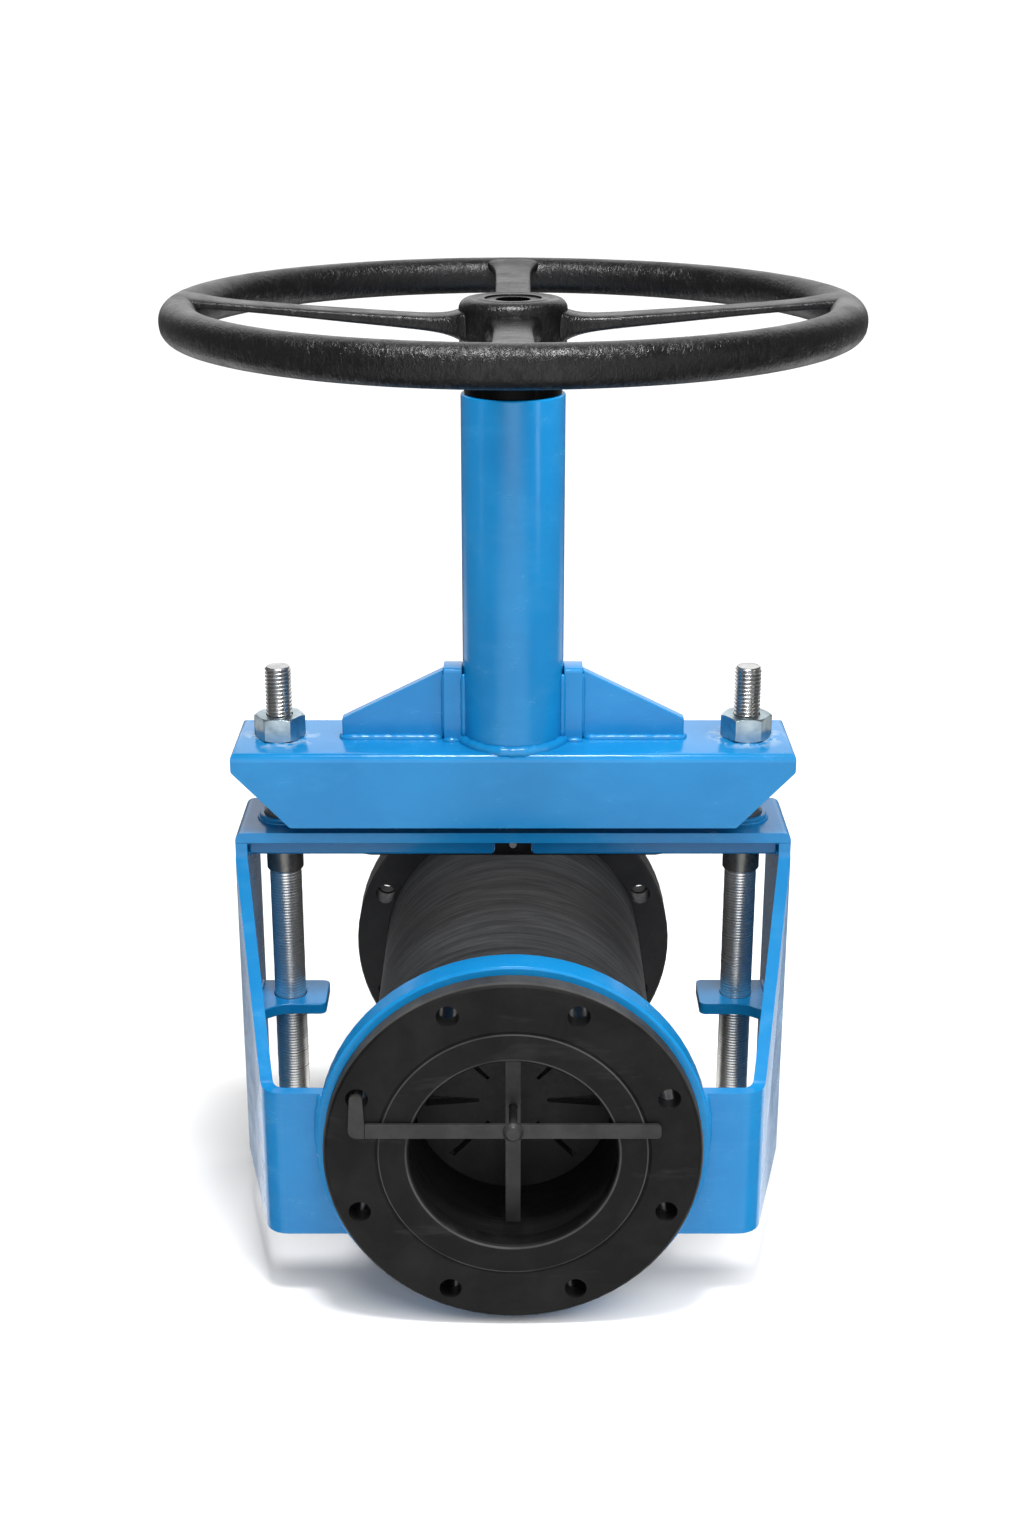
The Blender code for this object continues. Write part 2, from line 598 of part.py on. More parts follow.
def spoke_mesh(name, angle, material):
    """Make one flat spoke that rises and thins from the hub to the rim."""
    root, tip = HUB_D / 2 - 0.012, WHEEL_D / 2 - RIM_D / 2 - 0.004
    stations = [(0.0, 1.10, 1.15), (0.12, 1.0, 1.0), (0.5, 0.93, 0.70), (0.85, 0.98, 0.52),
                (0.95, 1.12, 0.52), (1.0, 1.25, 0.60)]
    verts, faces = [], []
    sides = 12
    for t, wide, thick in stations:
        dist = root + (tip - root) * t
        z = SPOKE_ROOT_Z + (SPOKE_TIP_Z - SPOKE_ROOT_Z) * t
        for k in range(sides):
            a = 2 * math.pi * (k + 0.5) / sides
            u = wide * SPOKE_W / 2 * math.copysign(abs(math.cos(a)) ** 0.6, math.cos(a))
            v = thick * SPOKE_T / 2 * math.copysign(abs(math.sin(a)) ** 0.6, math.sin(a))
            verts.append((dist * math.cos(angle) - u * math.sin(angle),
                          dist * math.sin(angle) + u * math.cos(angle), z + v))
    last = len(stations) - 1
    for i in range(last):
        for k in range(sides):
            n = (k + 1) % sides
            faces.append([i * sides + k, i * sides + n, (i + 1) * sides + n, (i + 1) * sides + k])
    faces.append(list(range(sides)))
    faces.append([last * sides + k for k in range(sides)][::-1])
    return add_mesh(name, verts, faces, material)


def build_handwheel(black):
    """Make the cast handwheel: rim, hub and four spokes in one piece."""
    major = WHEEL_D / 2 - RIM_D / 2
    r = RIM_D / 2
    circle = [(major + r * math.cos(2 * math.pi * k / 14), RIM_Z + r * math.sin(2 * math.pi * k / 14))
              for k in range(14)]
    wheel = lathe("handwheel", circle, "Z", black, 72)
    bore = DRIVE_SLEEVE_D / 2 + FIT
    recess = HUB_RECESS_D / 2
    floor = HUB_TOP_Z - HUB_RECESS_DEPTH
    hub = [(bore, HUB_BOTTOM_Z), (HUB_D / 2 - 0.004, HUB_BOTTOM_Z),
           (HUB_D / 2, HUB_BOTTOM_Z + 0.004), (HUB_D / 2, HUB_TOP_Z - 0.010),
           (HUB_D / 2 - 0.003, HUB_TOP_Z - 0.004), (HUB_D / 2 - 0.010, HUB_TOP_Z),
           (recess, HUB_TOP_Z), (recess, floor), (bore, floor)]
    solid = [(0.0, HUB_BOTTOM_Z)] + hub[1:6] + [(0.0, HUB_TOP_Z)]
    parts = [lathe("hub", solid, "Z", black, 48)]
    parts += [spoke_mesh("spoke", math.pi / 2 * k, black) for k in range(4)]
    combine(wheel, parts, "UNION")
    low, high = HUB_BOTTOM_Z - 0.05, HUB_TOP_Z + 0.05
    cutters = [cylinder("bore", bore, "Z", low, high, black, 48),
               cylinder("recess", recess, "Z", floor, high, black, 48), key_cutter(black)]
    return combine(wheel, cutters, "DIFFERENCE")


# ---------------------------------------------------------------- upper jaw pieces
def build_upper_jaw(steel):
    """Make the upper pinch bar with chamfered ends and the spindle socket."""
    jaw = prism("upper_jaw", nose_section(JAW_TOP_Z, JAW_OPEN_Z), "X", -JAW_HALF_L, JAW_HALF_L,
                steel)
    knee_z = JAW_OPEN_Z + 0.0135
    cutters = []
    for side in (-1, 1):
        chamfer = [(JAW_NOSE_HALF_L, JAW_OPEN_Z - 0.001), (JAW_HALF_L + 0.02, JAW_OPEN_Z - 0.001),
                   (JAW_HALF_L + 0.02, knee_z), (JAW_HALF_L - 0.010, knee_z)]
        chamfer = [(side * x, z) for x, z in chamfer]
        cutters.append(prism("chamfer", chamfer, "Y", -0.05, 0.05, steel))
    cutters.append(cylinder("socket", SPINDLE_D / 2 + FIT, "Z", JAW_OPEN_Z + SOCKET_UP,
                            JAW_TOP_Z + 0.01, steel, 40))
    combine(jaw, cutters, "DIFFERENCE")
    pin = cylinder("pin_hole", PIN_D / 2 + FIT, "Y", -0.05, 0.05, steel, 24,
                   (0.0, 0.0, JAW_TOP_Z - PIN_DOWN))
    return combine(jaw, [pin], "DIFFERENCE")


def build_spindle(steel):
    """Make the threaded spindle; the thread is left plain at its outside diameter."""
    r = SPINDLE_D / 2
    low = JAW_OPEN_Z + SOCKET_UP + FIT
    profile = [(0.0, low), (r - 0.001, low), (r, low + 0.001), (r, SPINDLE_TOP_Z - 0.002),
               (r - 0.002, SPINDLE_TOP_Z), (0.0, SPINDLE_TOP_Z)]
    spindle = lathe("spindle", profile, "Z", steel, 40)
    pin = cylinder("pin_hole", PIN_D / 2 + FIT, "Y", -0.05, 0.05, steel, 24,
                   (0.0, 0.0, JAW_TOP_Z - PIN_DOWN))
    return combine(spindle, [pin], "DIFFERENCE")


def build_spindle_pin(steel):
    """Make the cross pin that holds the spindle in the upper jaw."""
    return cylinder("spindle_pin", PIN_D / 2, "Y", -JAW_T / 2 + 0.001, JAW_T / 2 - 0.001, steel,
                    24, (0.0, 0.0, JAW_TOP_Z - PIN_DOWN))


# ---------------------------------------------------------------- transit bracing
def build_strap(steel):
    """Make the flat strap across the inlet face."""
    face = -FACE_Y - FIT
    outline = rounded_outline(
        [(-STRAP_HALF_L, STRAP_Z - STRAP_W / 2), (STRAP_HALF_L, STRAP_Z - STRAP_W / 2),
         (STRAP_HALF_L, STRAP_Z + STRAP_W / 2), (-STRAP_HALF_L, STRAP_Z + STRAP_W / 2)],
        [0.0, 0.003, 0.003, 0.0], 4)
    strap = prism("transit_strap", outline, "Y", face - STRAP_T, face, steel)
    hole = cylinder("hole", SCREW_D / 2 + FIT, "Y", -0.25, -0.15, steel, 24, (0.0, 0.0, STRAP_Z))
    return combine(strap, [hole], "DIFFERENCE")


def build_hook(steel):
    """Make the hooked tail that reaches from the strap end into a bolt hole."""
    angle = math.pi - math.pi / BOLT_COUNT
    hx, hz = BOLT_CIRCLE_D / 2 * math.cos(angle), BOLT_CIRCLE_D / 2 * math.sin(angle)
    face = -FACE_Y - FIT
    x_end = -STRAP_HALF_L - FIT
    low = STRAP_Z - STRAP_W / 2
    outline = rounded_outline(
        [(x_end, low), (x_end, STRAP_Z + STRAP_W / 2), (hx + 0.004, hz + 0.004),
         (hx - 0.005, hz + 0.004), (hx - 0.007, low)], [0.0, 0.0, 0.003, 0.003, 0.006], 4)
    tail = prism("transit_hook", outline, "Y", face - STRAP_T, face, steel)
    peg = cylinder("peg", 0.0038, "Y", face - STRAP_T / 2, -FACE_Y + 0.012, steel, 24,
                   (hx, 0.0, hz))
    return combine(tail, [peg], "UNION")


def build_post(steel):
    """Make the flat post that stands across the bore behind the strap."""
    half = math.sqrt(BORE_R ** 2 - (POST_W / 2) ** 2) - FIT
    post = box("transit_post", (-POST_W / 2, POST_W / 2), (POST_Y, POST_Y + POST_T),
               (-half, half), steel)
    hole = cylinder("hole", SCREW_D / 2 + FIT, "Y", -0.25, -0.10, steel, 24, (0.0, 0.0, STRAP_Z))
    return combine(post, [hole], "DIFFERENCE")


def build_transit_screw(steel):
    """Make the screw that ties the strap to the post."""
    head = -FACE_Y - 2 * FIT - STRAP_T
    r = SCREW_D / 2
    end = POST_Y + POST_T + 0.009
    profile = [(0.0, head - 0.004), (0.005, head - 0.0035), (0.0078, head), (r, head), (r, end),
               (0.0, end)]
    return lathe("transit_screw", profile, "Y", steel, 24, (0.0, 0.0, STRAP_Z))


def build_transit_nut(steel):
    """Make the nut behind the post."""
    low = POST_Y + POST_T + FIT
    outline = hexagon(0.010)
    body = prism("transit_nut", outline, "Y", low, low + 0.005, steel, (0.0, 0.0, STRAP_Z))
    hole = cylinder("hole", SCREW_D / 2 + FIT, "Y", -0.25, -0.10, steel, 24, (0.0, 0.0, STRAP_Z))
    return combine(body, [hole], "DIFFERENCE")


def build_plug(plastic):
    """Make the slotted round plug that keeps dirt out of the sleeve in transit."""
    r = BORE_R - FIT
    body = cylinder("transit_plug", r, "Y", PLUG_Y, PLUG_Y + PLUG_T, plastic, 64)
    cutters = []
    for k in range(BOLT_COUNT):
        a = 2 * math.pi * k / BOLT_COUNT
        wide = 0.0045 if k % 2 == 0 else 0.0022
        shape = [(0.026, -0.0012), (0.066, -wide), (0.066, wide), (0.026, 0.0012)]
        shape = [(u * math.cos(a) - v * math.sin(a), u * math.sin(a) + v * math.cos(a))
                 for u, v in shape]
        cutters.append(prism("slot", shape, "Y", PLUG_Y - 0.01, PLUG_Y + PLUG_T + 0.01, plastic))
    return combine(body, cutters, "DIFFERENCE")


# ---------------------------------------------------------------- assembly
def build_pipe_line():
    """Build the sleeve with its flanges and rings."""
    rubber = make_material("black_rubber", (0.018, 0.018, 0.019), 0.75, 0.0)
    wrap = make_material("wrapped_rubber", (0.022, 0.022, 0.023), 0.8, 0.0)
    build_sleeve_tube(wrap)
    build_sleeve_flange("sleeve_flange_front", -1, rubber)
    build_sleeve_flange("sleeve_flange_rear", 1, rubber)
    blue = make_material("blue_ring_paint", (0.05, 0.24, 0.60), 0.25, 0.0)
    black = make_material("black_ring_paint", (0.02, 0.02, 0.022), 0.4, 0.0)
    build_flange_ring("flange_ring_front", -1, RING_D, blue)
    build_flange_ring("backing_ring_rear", 1, RUBBER_FLANGE_D, black)


def build_frame():
    """Build the welded frame round the sleeve."""
    blue = make_material("blue_frame_paint", (0.05, 0.24, 0.60), 0.25, 0.0)
    plastic = make_material("black_bush", (0.015, 0.015, 0.015), 0.45, 0.0)
    build_top_plate(blue)
    for side, word in ((-1, "left"), (1, "right")):
        build_side_plate("side_plate_" + word, side, blue)
        build_lug("rod_lug_" + word, side, blue)
        for row, place in ((-1, "front"), (1, "rear")):
            build_rail("guide_rail_" + place + "_" + word, side, row, blue)
        at = (side * ROD_X, 0.0, 0.0)
        ring("bush_boss_" + word, BOSS_D / 2, BUSH_D / 2 + FIT, "Z", FRAME_TOP_Z + FIT,
             FRAME_TOP_Z + FIT + BOSS_H, blue, 40, 0.001, at)
        ring("rod_bush_" + word, BUSH_D / 2, ROD_D / 2 + RUN, "Z", BUSH_BOTTOM_Z, BUSH_TOP_Z,
             plastic, 40, 0.0005, at)


def build_yoke():
    """Build the floating yoke: beam, column, tie rods and lower jaw."""
    blue = make_material("blue_yoke_paint", (0.05, 0.24, 0.60), 0.25, 0.0)
    turned = make_material("turned_steel", (0.62, 0.62, 0.60), 0.3, 1.0)
    zinc = make_material("zinc_plate", (0.66, 0.68, 0.70), 0.35, 1.0)
    dark = make_material("dark_jaw_paint", (0.02, 0.02, 0.022), 0.5, 0.0)
    black = make_material("black_collar", (0.012, 0.012, 0.012), 0.35, 0.0)
    bronze = make_material("bronze", (0.60, 0.38, 0.16), 0.35, 1.0)
    build_beam(blue)
    ring("column_tube", COLUMN_D / 2, COLUMN_D / 2 - COLUMN_WALL, "Z", BEAM_TOP_Z + FIT,
         COLUMN_TOP_Z, blue, 64, 0.0005)
    build_lower_beam(dark)
    build_lower_nose(dark)
    for side, word in ((-1, "left"), (1, "right")):
        build_pad("gusset_pad_" + word, side, blue)
        build_web("gusset_web_" + word, side, blue)
        build_tie_rod("tie_rod_" + word, side, turned)
        at = (side * ROD_X, 0.0, 0.0)
        nut("rod_nut_" + word, NUT_AF, STUD_D / 2 + FIT, BEAM_TOP_Z + FIT, NUT_H, zinc, at)
        nut("jam_nut_" + word, NUT_AF, ROD_D / 2 + FIT,
            LOWER_BEAM_BOTTOM_Z + LOWER_BEAM_H + FIT, JAM_NUT_H, zinc, at)
    build_housing(black)
    build_thrust_ring("thrust_ring_upper", COLLAR_TOP_Z - THRUST_T + FIT, COLLAR_TOP_Z + FIT,
                      bronze)
    build_thrust_ring("thrust_ring_lower", HOUSING_BOTTOM_Z - THRUST_T - FIT,
                      HOUSING_BOTTOM_Z - FIT, bronze)


def build_drive():
    """Build the handwheel and the pieces that turn with it."""
    black = make_material("black_cast_iron", (0.012, 0.012, 0.013), 0.5, 0.0)
    steel = make_material("machined_steel", (0.55, 0.55, 0.55), 0.35, 1.0)
    bronze = make_material("nut_bronze", (0.60, 0.38, 0.16), 0.35, 1.0)
    build_handwheel(black)
    build_drive_sleeve(steel)
    build_stem_nut(bronze)
    build_key(steel)
    build_cap_ring(black)


def build_upper_jaw_group():
    """Build the upper jaw with its spindle."""
    dark = make_material("dark_upper_jaw_paint", (0.02, 0.02, 0.022), 0.5, 0.0)
    steel = make_material("spindle_steel", (0.55, 0.55, 0.55), 0.3, 1.0)
    build_upper_jaw(dark)
    build_spindle(steel)
    build_spindle_pin(steel)


def build_transit_bracing():
    """Build the bracing that protects the sleeve until the valve is fitted."""
    steel = make_material("dark_strap_steel", (0.10, 0.10, 0.10), 0.5, 0.6)
    plastic = make_material("black_plug_plastic", (0.015, 0.015, 0.015), 0.5, 0.0)
    build_strap(steel)
    build_hook(steel)
    build_post(steel)
    build_transit_screw(steel)
    build_transit_nut(steel)
    build_plug(plastic)


def main():
    """Build the whole valve."""
    clear_scene()
    build_pipe_line()
    build_frame()
    build_yoke()
    build_drive()
    build_upper_jaw_group()
    build_transit_bracing()


main()
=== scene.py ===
"""Looks of the open-body pinch valve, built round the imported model.

X runs across the valve, Y along the pipe from the inlet to the outlet and Z up the spindle.
All sizes are metres.
"""
from __future__ import annotations

import json
import logging
import math
from dataclasses import dataclass, field
from enum import Enum
from typing import Callable, Iterable, Sequence

import bpy
import bmesh
import numpy as np
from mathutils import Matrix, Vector

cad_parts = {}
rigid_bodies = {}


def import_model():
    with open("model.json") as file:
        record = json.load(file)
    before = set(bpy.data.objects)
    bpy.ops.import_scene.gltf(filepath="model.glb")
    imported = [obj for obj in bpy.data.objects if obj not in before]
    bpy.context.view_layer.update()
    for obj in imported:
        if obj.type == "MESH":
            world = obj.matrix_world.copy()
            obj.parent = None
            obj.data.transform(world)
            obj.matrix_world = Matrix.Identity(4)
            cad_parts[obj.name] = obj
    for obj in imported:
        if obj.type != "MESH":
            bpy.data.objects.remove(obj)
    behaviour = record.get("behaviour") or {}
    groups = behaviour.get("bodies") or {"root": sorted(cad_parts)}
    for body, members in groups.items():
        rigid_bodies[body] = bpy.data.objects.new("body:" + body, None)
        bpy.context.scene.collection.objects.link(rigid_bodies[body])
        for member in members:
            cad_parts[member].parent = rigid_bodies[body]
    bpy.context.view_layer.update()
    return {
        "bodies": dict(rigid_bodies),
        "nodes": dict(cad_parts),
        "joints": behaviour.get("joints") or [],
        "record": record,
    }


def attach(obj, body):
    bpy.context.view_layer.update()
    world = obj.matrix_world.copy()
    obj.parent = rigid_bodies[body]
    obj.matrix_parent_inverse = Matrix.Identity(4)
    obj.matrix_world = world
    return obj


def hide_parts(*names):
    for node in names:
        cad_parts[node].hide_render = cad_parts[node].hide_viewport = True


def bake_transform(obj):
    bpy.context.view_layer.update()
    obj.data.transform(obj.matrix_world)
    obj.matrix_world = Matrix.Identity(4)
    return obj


LOG = logging.getLogger("valve")
TAU = 2.0 * math.pi
Colour = tuple[float, float, float]


class Body(Enum):
    """The four bodies that move against each other."""

    FRAME = "frame"
    YOKE = "yoke"
    JAW = "upper_jaw_group"
    DRIVE = "drive"


class Axis(Enum):
    """The axis that a turned shape is turned about."""

    Y = "Y"
    Z = "Z"


# ------------------------------------------------------------------ materials
class Graph:
    """A small helper that lays out one node material."""

    def __init__(self, name: str) -> None:
        """Start a material that reads object coordinates.

        Args:
            name: Name of the material.
        """
        self.material = bpy.data.materials.new(name)
        self.material.use_nodes = True
        self.tree = self.material.node_tree
        self.shader = self.tree.nodes["Principled BSDF"]
        self.place = self.node("ShaderNodeTexCoord").outputs["Object"]

    def node(self, kind: str, **settings: object) -> bpy.types.Node:
        """Add one node.

        Args:
            kind: Node type.
            **settings: Properties set on the node.

        Returns:
            The new node.
        """
        made = self.tree.nodes.new(kind)
        for key, value in settings.items():
            setattr(made, key, value)
        return made

    def plug(self, socket: bpy.types.NodeSocket, value: object) -> None:
        """Link an output to a socket, or set the socket's own value.

        Args:
            socket: Input socket.
            value: Output socket, number or colour.
        """
        if isinstance(value, bpy.types.NodeSocket):
            self.tree.links.new(value, socket)
        elif isinstance(value, tuple) and len(value) == 3 and socket.type == "RGBA":
            socket.default_value = (*value, 1.0)
        else:
            socket.default_value = value

    def stretch(self, scale: Sequence[float], offset: Sequence[float] = (0, 0, 0)) -> object:
        """Scale and shift the object coordinates.

        Args:
            scale: Factor along X, Y and Z.
            offset: Shift after scaling.

        Returns:
            The changed coordinates.
        """
        made = self.node("ShaderNodeMapping")
        self.plug(made.inputs["Vector"], self.place)
        made.inputs["Scale"].default_value = tuple(scale)
        made.inputs["Location"].default_value = tuple(offset)
        return made.outputs["Vector"]

    def noise(self, scale: float, detail: float = 3.0, rough: float = 0.5,
              where: object = None, bend: float = 0.0) -> object:
        """Add a noise pattern.

        Args:
            scale: Waves per metre.
            detail: Number of finer layers.
            rough: Strength of the finer layers.
            where: Coordinates, the object's own if left out.
            bend: Distortion of the pattern.

        Returns:
            The noise value.
        """
        made = self.node("ShaderNodeTexNoise")
        self.plug(made.inputs["Vector"], where or self.place)
        made.inputs["Scale"].default_value = scale
        made.inputs["Detail"].default_value = detail
        made.inputs["Roughness"].default_value = rough
        made.inputs["Distortion"].default_value = bend
        return made.outputs["Fac"]

    def ramp(self, value: object, low: float, high: float,
             start: float = 0.0, end: float = 1.0) -> object:
        """Map a value between two limits onto another range, clamped.

        Args:
            value: Input value.
            low: Input that gives start.
            high: Input that gives end.
            start: Result at low.
            end: Result at high.

        Returns:
            The mapped value.
        """
        made = self.node("ShaderNodeMapRange", clamp=True)
        self.plug(made.inputs["Value"], value)
        for key, number in (("From Min", low), ("From Max", high), ("To Min", start),
                            ("To Max", end)):
            made.inputs[key].default_value = number
        return made.outputs["Result"]

    def maths(self, operation: str, a: object, b: object = 0.0) -> object:
        """Combine two values.

        Args:
            operation: Name of the operation.
            a: First value.
            b: Second value.

        Returns:
            The result.
        """
        made = self.node("ShaderNodeMath", operation=operation)
        self.plug(made.inputs[0], a)
        self.plug(made.inputs[1], b)
        return made.outputs[0]

    def parts(self) -> bpy.types.NodeOutputs:
        """Split the object coordinates.

        Returns:
            Outputs of X, Y and Z.
        """
        made = self.node("ShaderNodeSeparateXYZ")
        self.plug(made.inputs[0], self.place)
        return made.outputs

    def length(self, a: object, b: object) -> object:
        """Work out the root of a squared plus b squared.

        Args:
            a: First side.
            b: Second side.

        Returns:
            The length.
        """
        return self.maths("SQRT", self.maths("ADD", self.maths("MULTIPLY", a, a),
                                             self.maths("MULTIPLY", b, b)))

    def mix(self, share: object, a: object, b: object) -> object:
        """Blend two colours.

        Args:
            share: Share of the second colour.
            a: First colour.
            b: Second colour.

        Returns:
            The blended colour.
        """
        made = self.node("ShaderNodeMix", data_type="RGBA")
        self.plug(made.inputs[0], share)
        self.plug(made.inputs[6], a)
        self.plug(made.inputs[7], b)
        return made.outputs[2]

    def bump(self, height: object, depth: float, strength: float = 1.0,
             under: object = None) -> object:
        """Turn a height into a tilted normal.

        Args:
            height: Height from 0 to 1.
            depth: Real height of 1, in metres.
            strength: Share of the effect.
            under: Normal that this one is laid over.

        Returns:
            The normal.
        """
        made = self.node("ShaderNodeBump")
        made.inputs["Strength"].default_value = strength
        made.inputs["Distance"].default_value = depth
        self.plug(made.inputs["Height"], height)
        if under is not None:
            self.plug(made.inputs["Normal"], under)
        return made.outputs["Normal"]

    def finish(self, colour: object, rough: object, metal: float = 0.0,
               normal: object = None, **constants: float) -> bpy.types.Material:
        """Plug the results into the shader.

        Args:
            colour: Base colour.
            rough: Roughness.
            metal: Metallic value.
            normal: Surface normal.
            **constants: Other shader values, with _ for a space.

        Returns:
            The material.
        """
        self.plug(self.shader.inputs["Base Color"], colour)
        self.plug(self.shader.inputs["Roughness"], rough)
        self.shader.inputs["Metallic"].default_value = metal
        if normal is not None:
            self.plug(self.shader.inputs["Normal"], normal)
        for key, value in constants.items():
            self.shader.inputs[key.replace("_", " ")].default_value = value
        return self.material


@dataclass(frozen=True)
class BluePaint:
    """Glossy blue enamel, brushed thick over the steel, with faint runs and dust."""

    name: str = "blue_enamel"
    colour: Colour = (0.006, 0.206, 0.480)
    pale: Colour = (0.027, 0.272, 0.555)
    deep: Colour = (0.004, 0.166, 0.412)
    rough: float = 0.17

    def layers(self, g: Graph) -> tuple[object, object, object]:
        """Build the paint itself.

        Args:
            g: Graph that takes the nodes.

        Returns:
            Sockets of colour, roughness and normal.
        """
        cloud = g.noise(9.0, 4.0, 0.55)
        base = g.mix(g.ramp(cloud, 0.35, 0.70), self.deep, self.colour)
        scuff = g.noise(24.0, 5.0, 0.70, g.stretch((1.0, 1.0, 2.2), (3.1, 0.4, 7.7)), 0.2)
        base = g.mix(g.ramp(scuff, 0.50, 0.80, 0.0, 0.35), base, self.pale)
        streak = g.noise(110.0, 4.0, 0.7, g.stretch((0.30, 0.30, 1.0)), 0.2)
        rough = g.maths("ADD", g.ramp(scuff, 0.45, 0.80, self.rough, self.rough + 0.16),
                        g.ramp(streak, 0.5, 0.8, 0.0, 0.07))
        peel = g.bump(g.noise(160.0, 2.0, 0.5), 0.00030, 0.22)
        wave = g.bump(g.noise(21.0, 2.0, 0.5), 0.0020, 0.30, peel)
        return base, rough, g.bump(streak, 0.0003, 0.25, wave)

    def build(self) -> bpy.types.Material:
        """Build the material.

        Returns:
            The finished material.
        """
        g = Graph(self.name)
        base, rough, normal = self.layers(g)
        return g.finish(base, rough, 0.0, normal, Specular_IOR_Level=0.45)


@dataclass(frozen=True)
class FleckedBluePaint(BluePaint):
    """The blue enamel of the beam, with pale grey-blue flecks round the two rod nuts."""

    name: str = "blue_enamel_beam"
    fleck: Colour = (0.42, 0.50, 0.58)
    nut_x: float = 0.178
    fleck_full: float = 0.0200
    fleck_end: float = 0.0330

    def build(self) -> bpy.types.Material:
        """Build the material.

        Returns:
            The finished material.
        """
        g = Graph(self.name)
        base, rough, normal = self.layers(g)
        x, y, _ = g.parts()
        # pale grey-blue flecks in a band round each rod nut
        away = g.length(g.maths("SUBTRACT", g.maths("ABSOLUTE", x), self.nut_x), y)
        near = g.ramp(away, self.fleck_full, self.fleck_end, 1.0, 0.0)
        speckle = g.ramp(g.noise(95.0, 5.0, 0.6, g.stretch((1, 1, 0.2)), 0.6), 0.50, 0.56)
        mask = g.maths("MULTIPLY", g.maths("MULTIPLY", near, speckle), 0.5)
        return g.finish(g.mix(mask, base, self.fleck), rough, 0.0, normal,
                        Specular_IOR_Level=0.45)


@dataclass(frozen=True)
class DrilledBluePaint(BluePaint):
    """The blue enamel of the flange ring, with painted shade: near-black walls in its eight holes."""

    name: str = "blue_enamel_ring_hole_shade"
    # painted shade for the walls of the eight bolt holes
    wall: Colour = (0.006, 0.006, 0.007)
    hole_x: float = 0.1109
    hole_z: float = 0.0459
    reach: float = 0.0094

    def build(self) -> bpy.types.Material:
        """Build the material.

        Returns:
            The finished material.
        """
        g = Graph(self.name)
        base, rough, normal = self.layers(g)
        x, _, z = (g.maths("ABSOLUTE", part) for part in g.parts())
        # painted shade: the hole walls near black
        mask: object = 0.0
        for across, up in ((self.hole_x, self.hole_z), (self.hole_z, self.hole_x)):
            away = g.length(g.maths("SUBTRACT", x, across), g.maths("SUBTRACT", z, up))
            mask = g.maths("MAXIMUM", mask, g.ramp(away, self.reach, self.reach + 0.0002, 1.0, 0.0))
        return g.finish(g.mix(mask, base, self.wall), rough, 0.0, normal, Specular_IOR_Level=0.3)


@dataclass(frozen=True)
class CastBlack:
    """Black enamel on a wrinkled cast skin."""

    name: str = "black_cast_skin"
    colour: Colour = (0.0018, 0.0018, 0.0018)
    worn: Colour = (0.010, 0.010, 0.0105)
    rough: float = 0.29
    wrinkle: float = 1.0
    scale: float = 230.0

    def build(self) -> bpy.types.Material:
        """Build the material.

        Returns:
            The finished material.
        """
        g = Graph(self.name)
        ridge = g.noise(self.scale, 3.0, 0.6, g.stretch((1.0, 0.6, 0.6)), 2.6)
        large = g.noise(46.0, 3.0, 0.6)
        fine = g.noise(1500.0, 2.0, 0.5)
        height = g.maths("MULTIPLY", g.ramp(ridge, 0.30, 0.70), g.ramp(large, 0.25, 0.7, 0.35, 1.0))
        base = g.mix(g.ramp(ridge, 0.55, 0.80, 0.0, 0.6), self.colour, self.worn)
        rough = g.ramp(large, 0.3, 0.7, self.rough, self.rough + 0.14)
        low = g.bump(fine, 0.00008, 0.5)
        normal = g.bump(height, 0.00050 * self.wrinkle, 0.8, low)
        return g.finish(base, rough, 0.0, normal, Specular_IOR_Level=0.5)


@dataclass(frozen=True)
class MouldedRubber:
    """Matt black moulded rubber with dust, scuffs and small scratches, and painted highlight lines
    round the lips of its face.
    """

    name: str = "moulded_rubber"
    colour: Colour = (0.0050, 0.0050, 0.0050)
    dust: Colour = (0.022, 0.0218, 0.0212)
    smear: Colour = (0.040, 0.0395, 0.0385)
    # lip: light grey of the painted highlight lines at the bore lip, the seal groove and the outer edge
    lip: Colour = (0.105, 0.105, 0.104)
    highlight_lips: Sequence[tuple[float, float]] = ((0.0769, 0.0010), (0.0966, 0.0007), (0.1360, 0.0012))
    rough: float = 0.50

    def build(self) -> bpy.types.Material:
        """Build the material.

        Returns:
            The finished material.
        """
        g = Graph(self.name)
        cloud = g.noise(24.0, 5.0, 0.65, None, 0.4)
        speck = g.noise(900.0, 2.0, 0.6)
        base = g.mix(g.ramp(cloud, 0.40, 0.78, 0.0, 0.55), self.colour, self.dust)
        smear = g.noise(26.0, 4.0, 0.7, g.stretch((0.35, 1.0, 1.4), (0.7, 0.0, 0.3)), 0.3)
        base = g.mix(g.ramp(smear, 0.58, 0.75, 0.0, 0.45), base, self.smear)
        base = g.mix(g.ramp(speck, 0.66, 0.80, 0.0, 0.35), base, self.dust)
        x, _, z = g.parts()
        across = g.length(x, z)
        # painted highlight: thin light rings at the lip radii, broken up in patches
        highlight_patches = g.ramp(g.noise(14.0, 3.0, 0.6), 0.32, 0.60, 0.25, 1.0)
        for place, width in self.highlight_lips:
            edge = g.ramp(g.maths("ABSOLUTE", g.maths("SUBTRACT", across, place)),
                          width * 0.35, width, 0.55, 0.0)
            base = g.mix(g.maths("MULTIPLY", edge, highlight_patches), base, self.lip)
        rough = g.ramp(cloud, 0.3, 0.75, self.rough - 0.06, self.rough + 0.16)
        normal = g.bump(speck, 0.00009, 0.5)
        normal = g.bump(cloud, 0.0007, 0.25, normal)
        return g.finish(base, rough, 0.0, normal, Specular_IOR_Level=0.15)


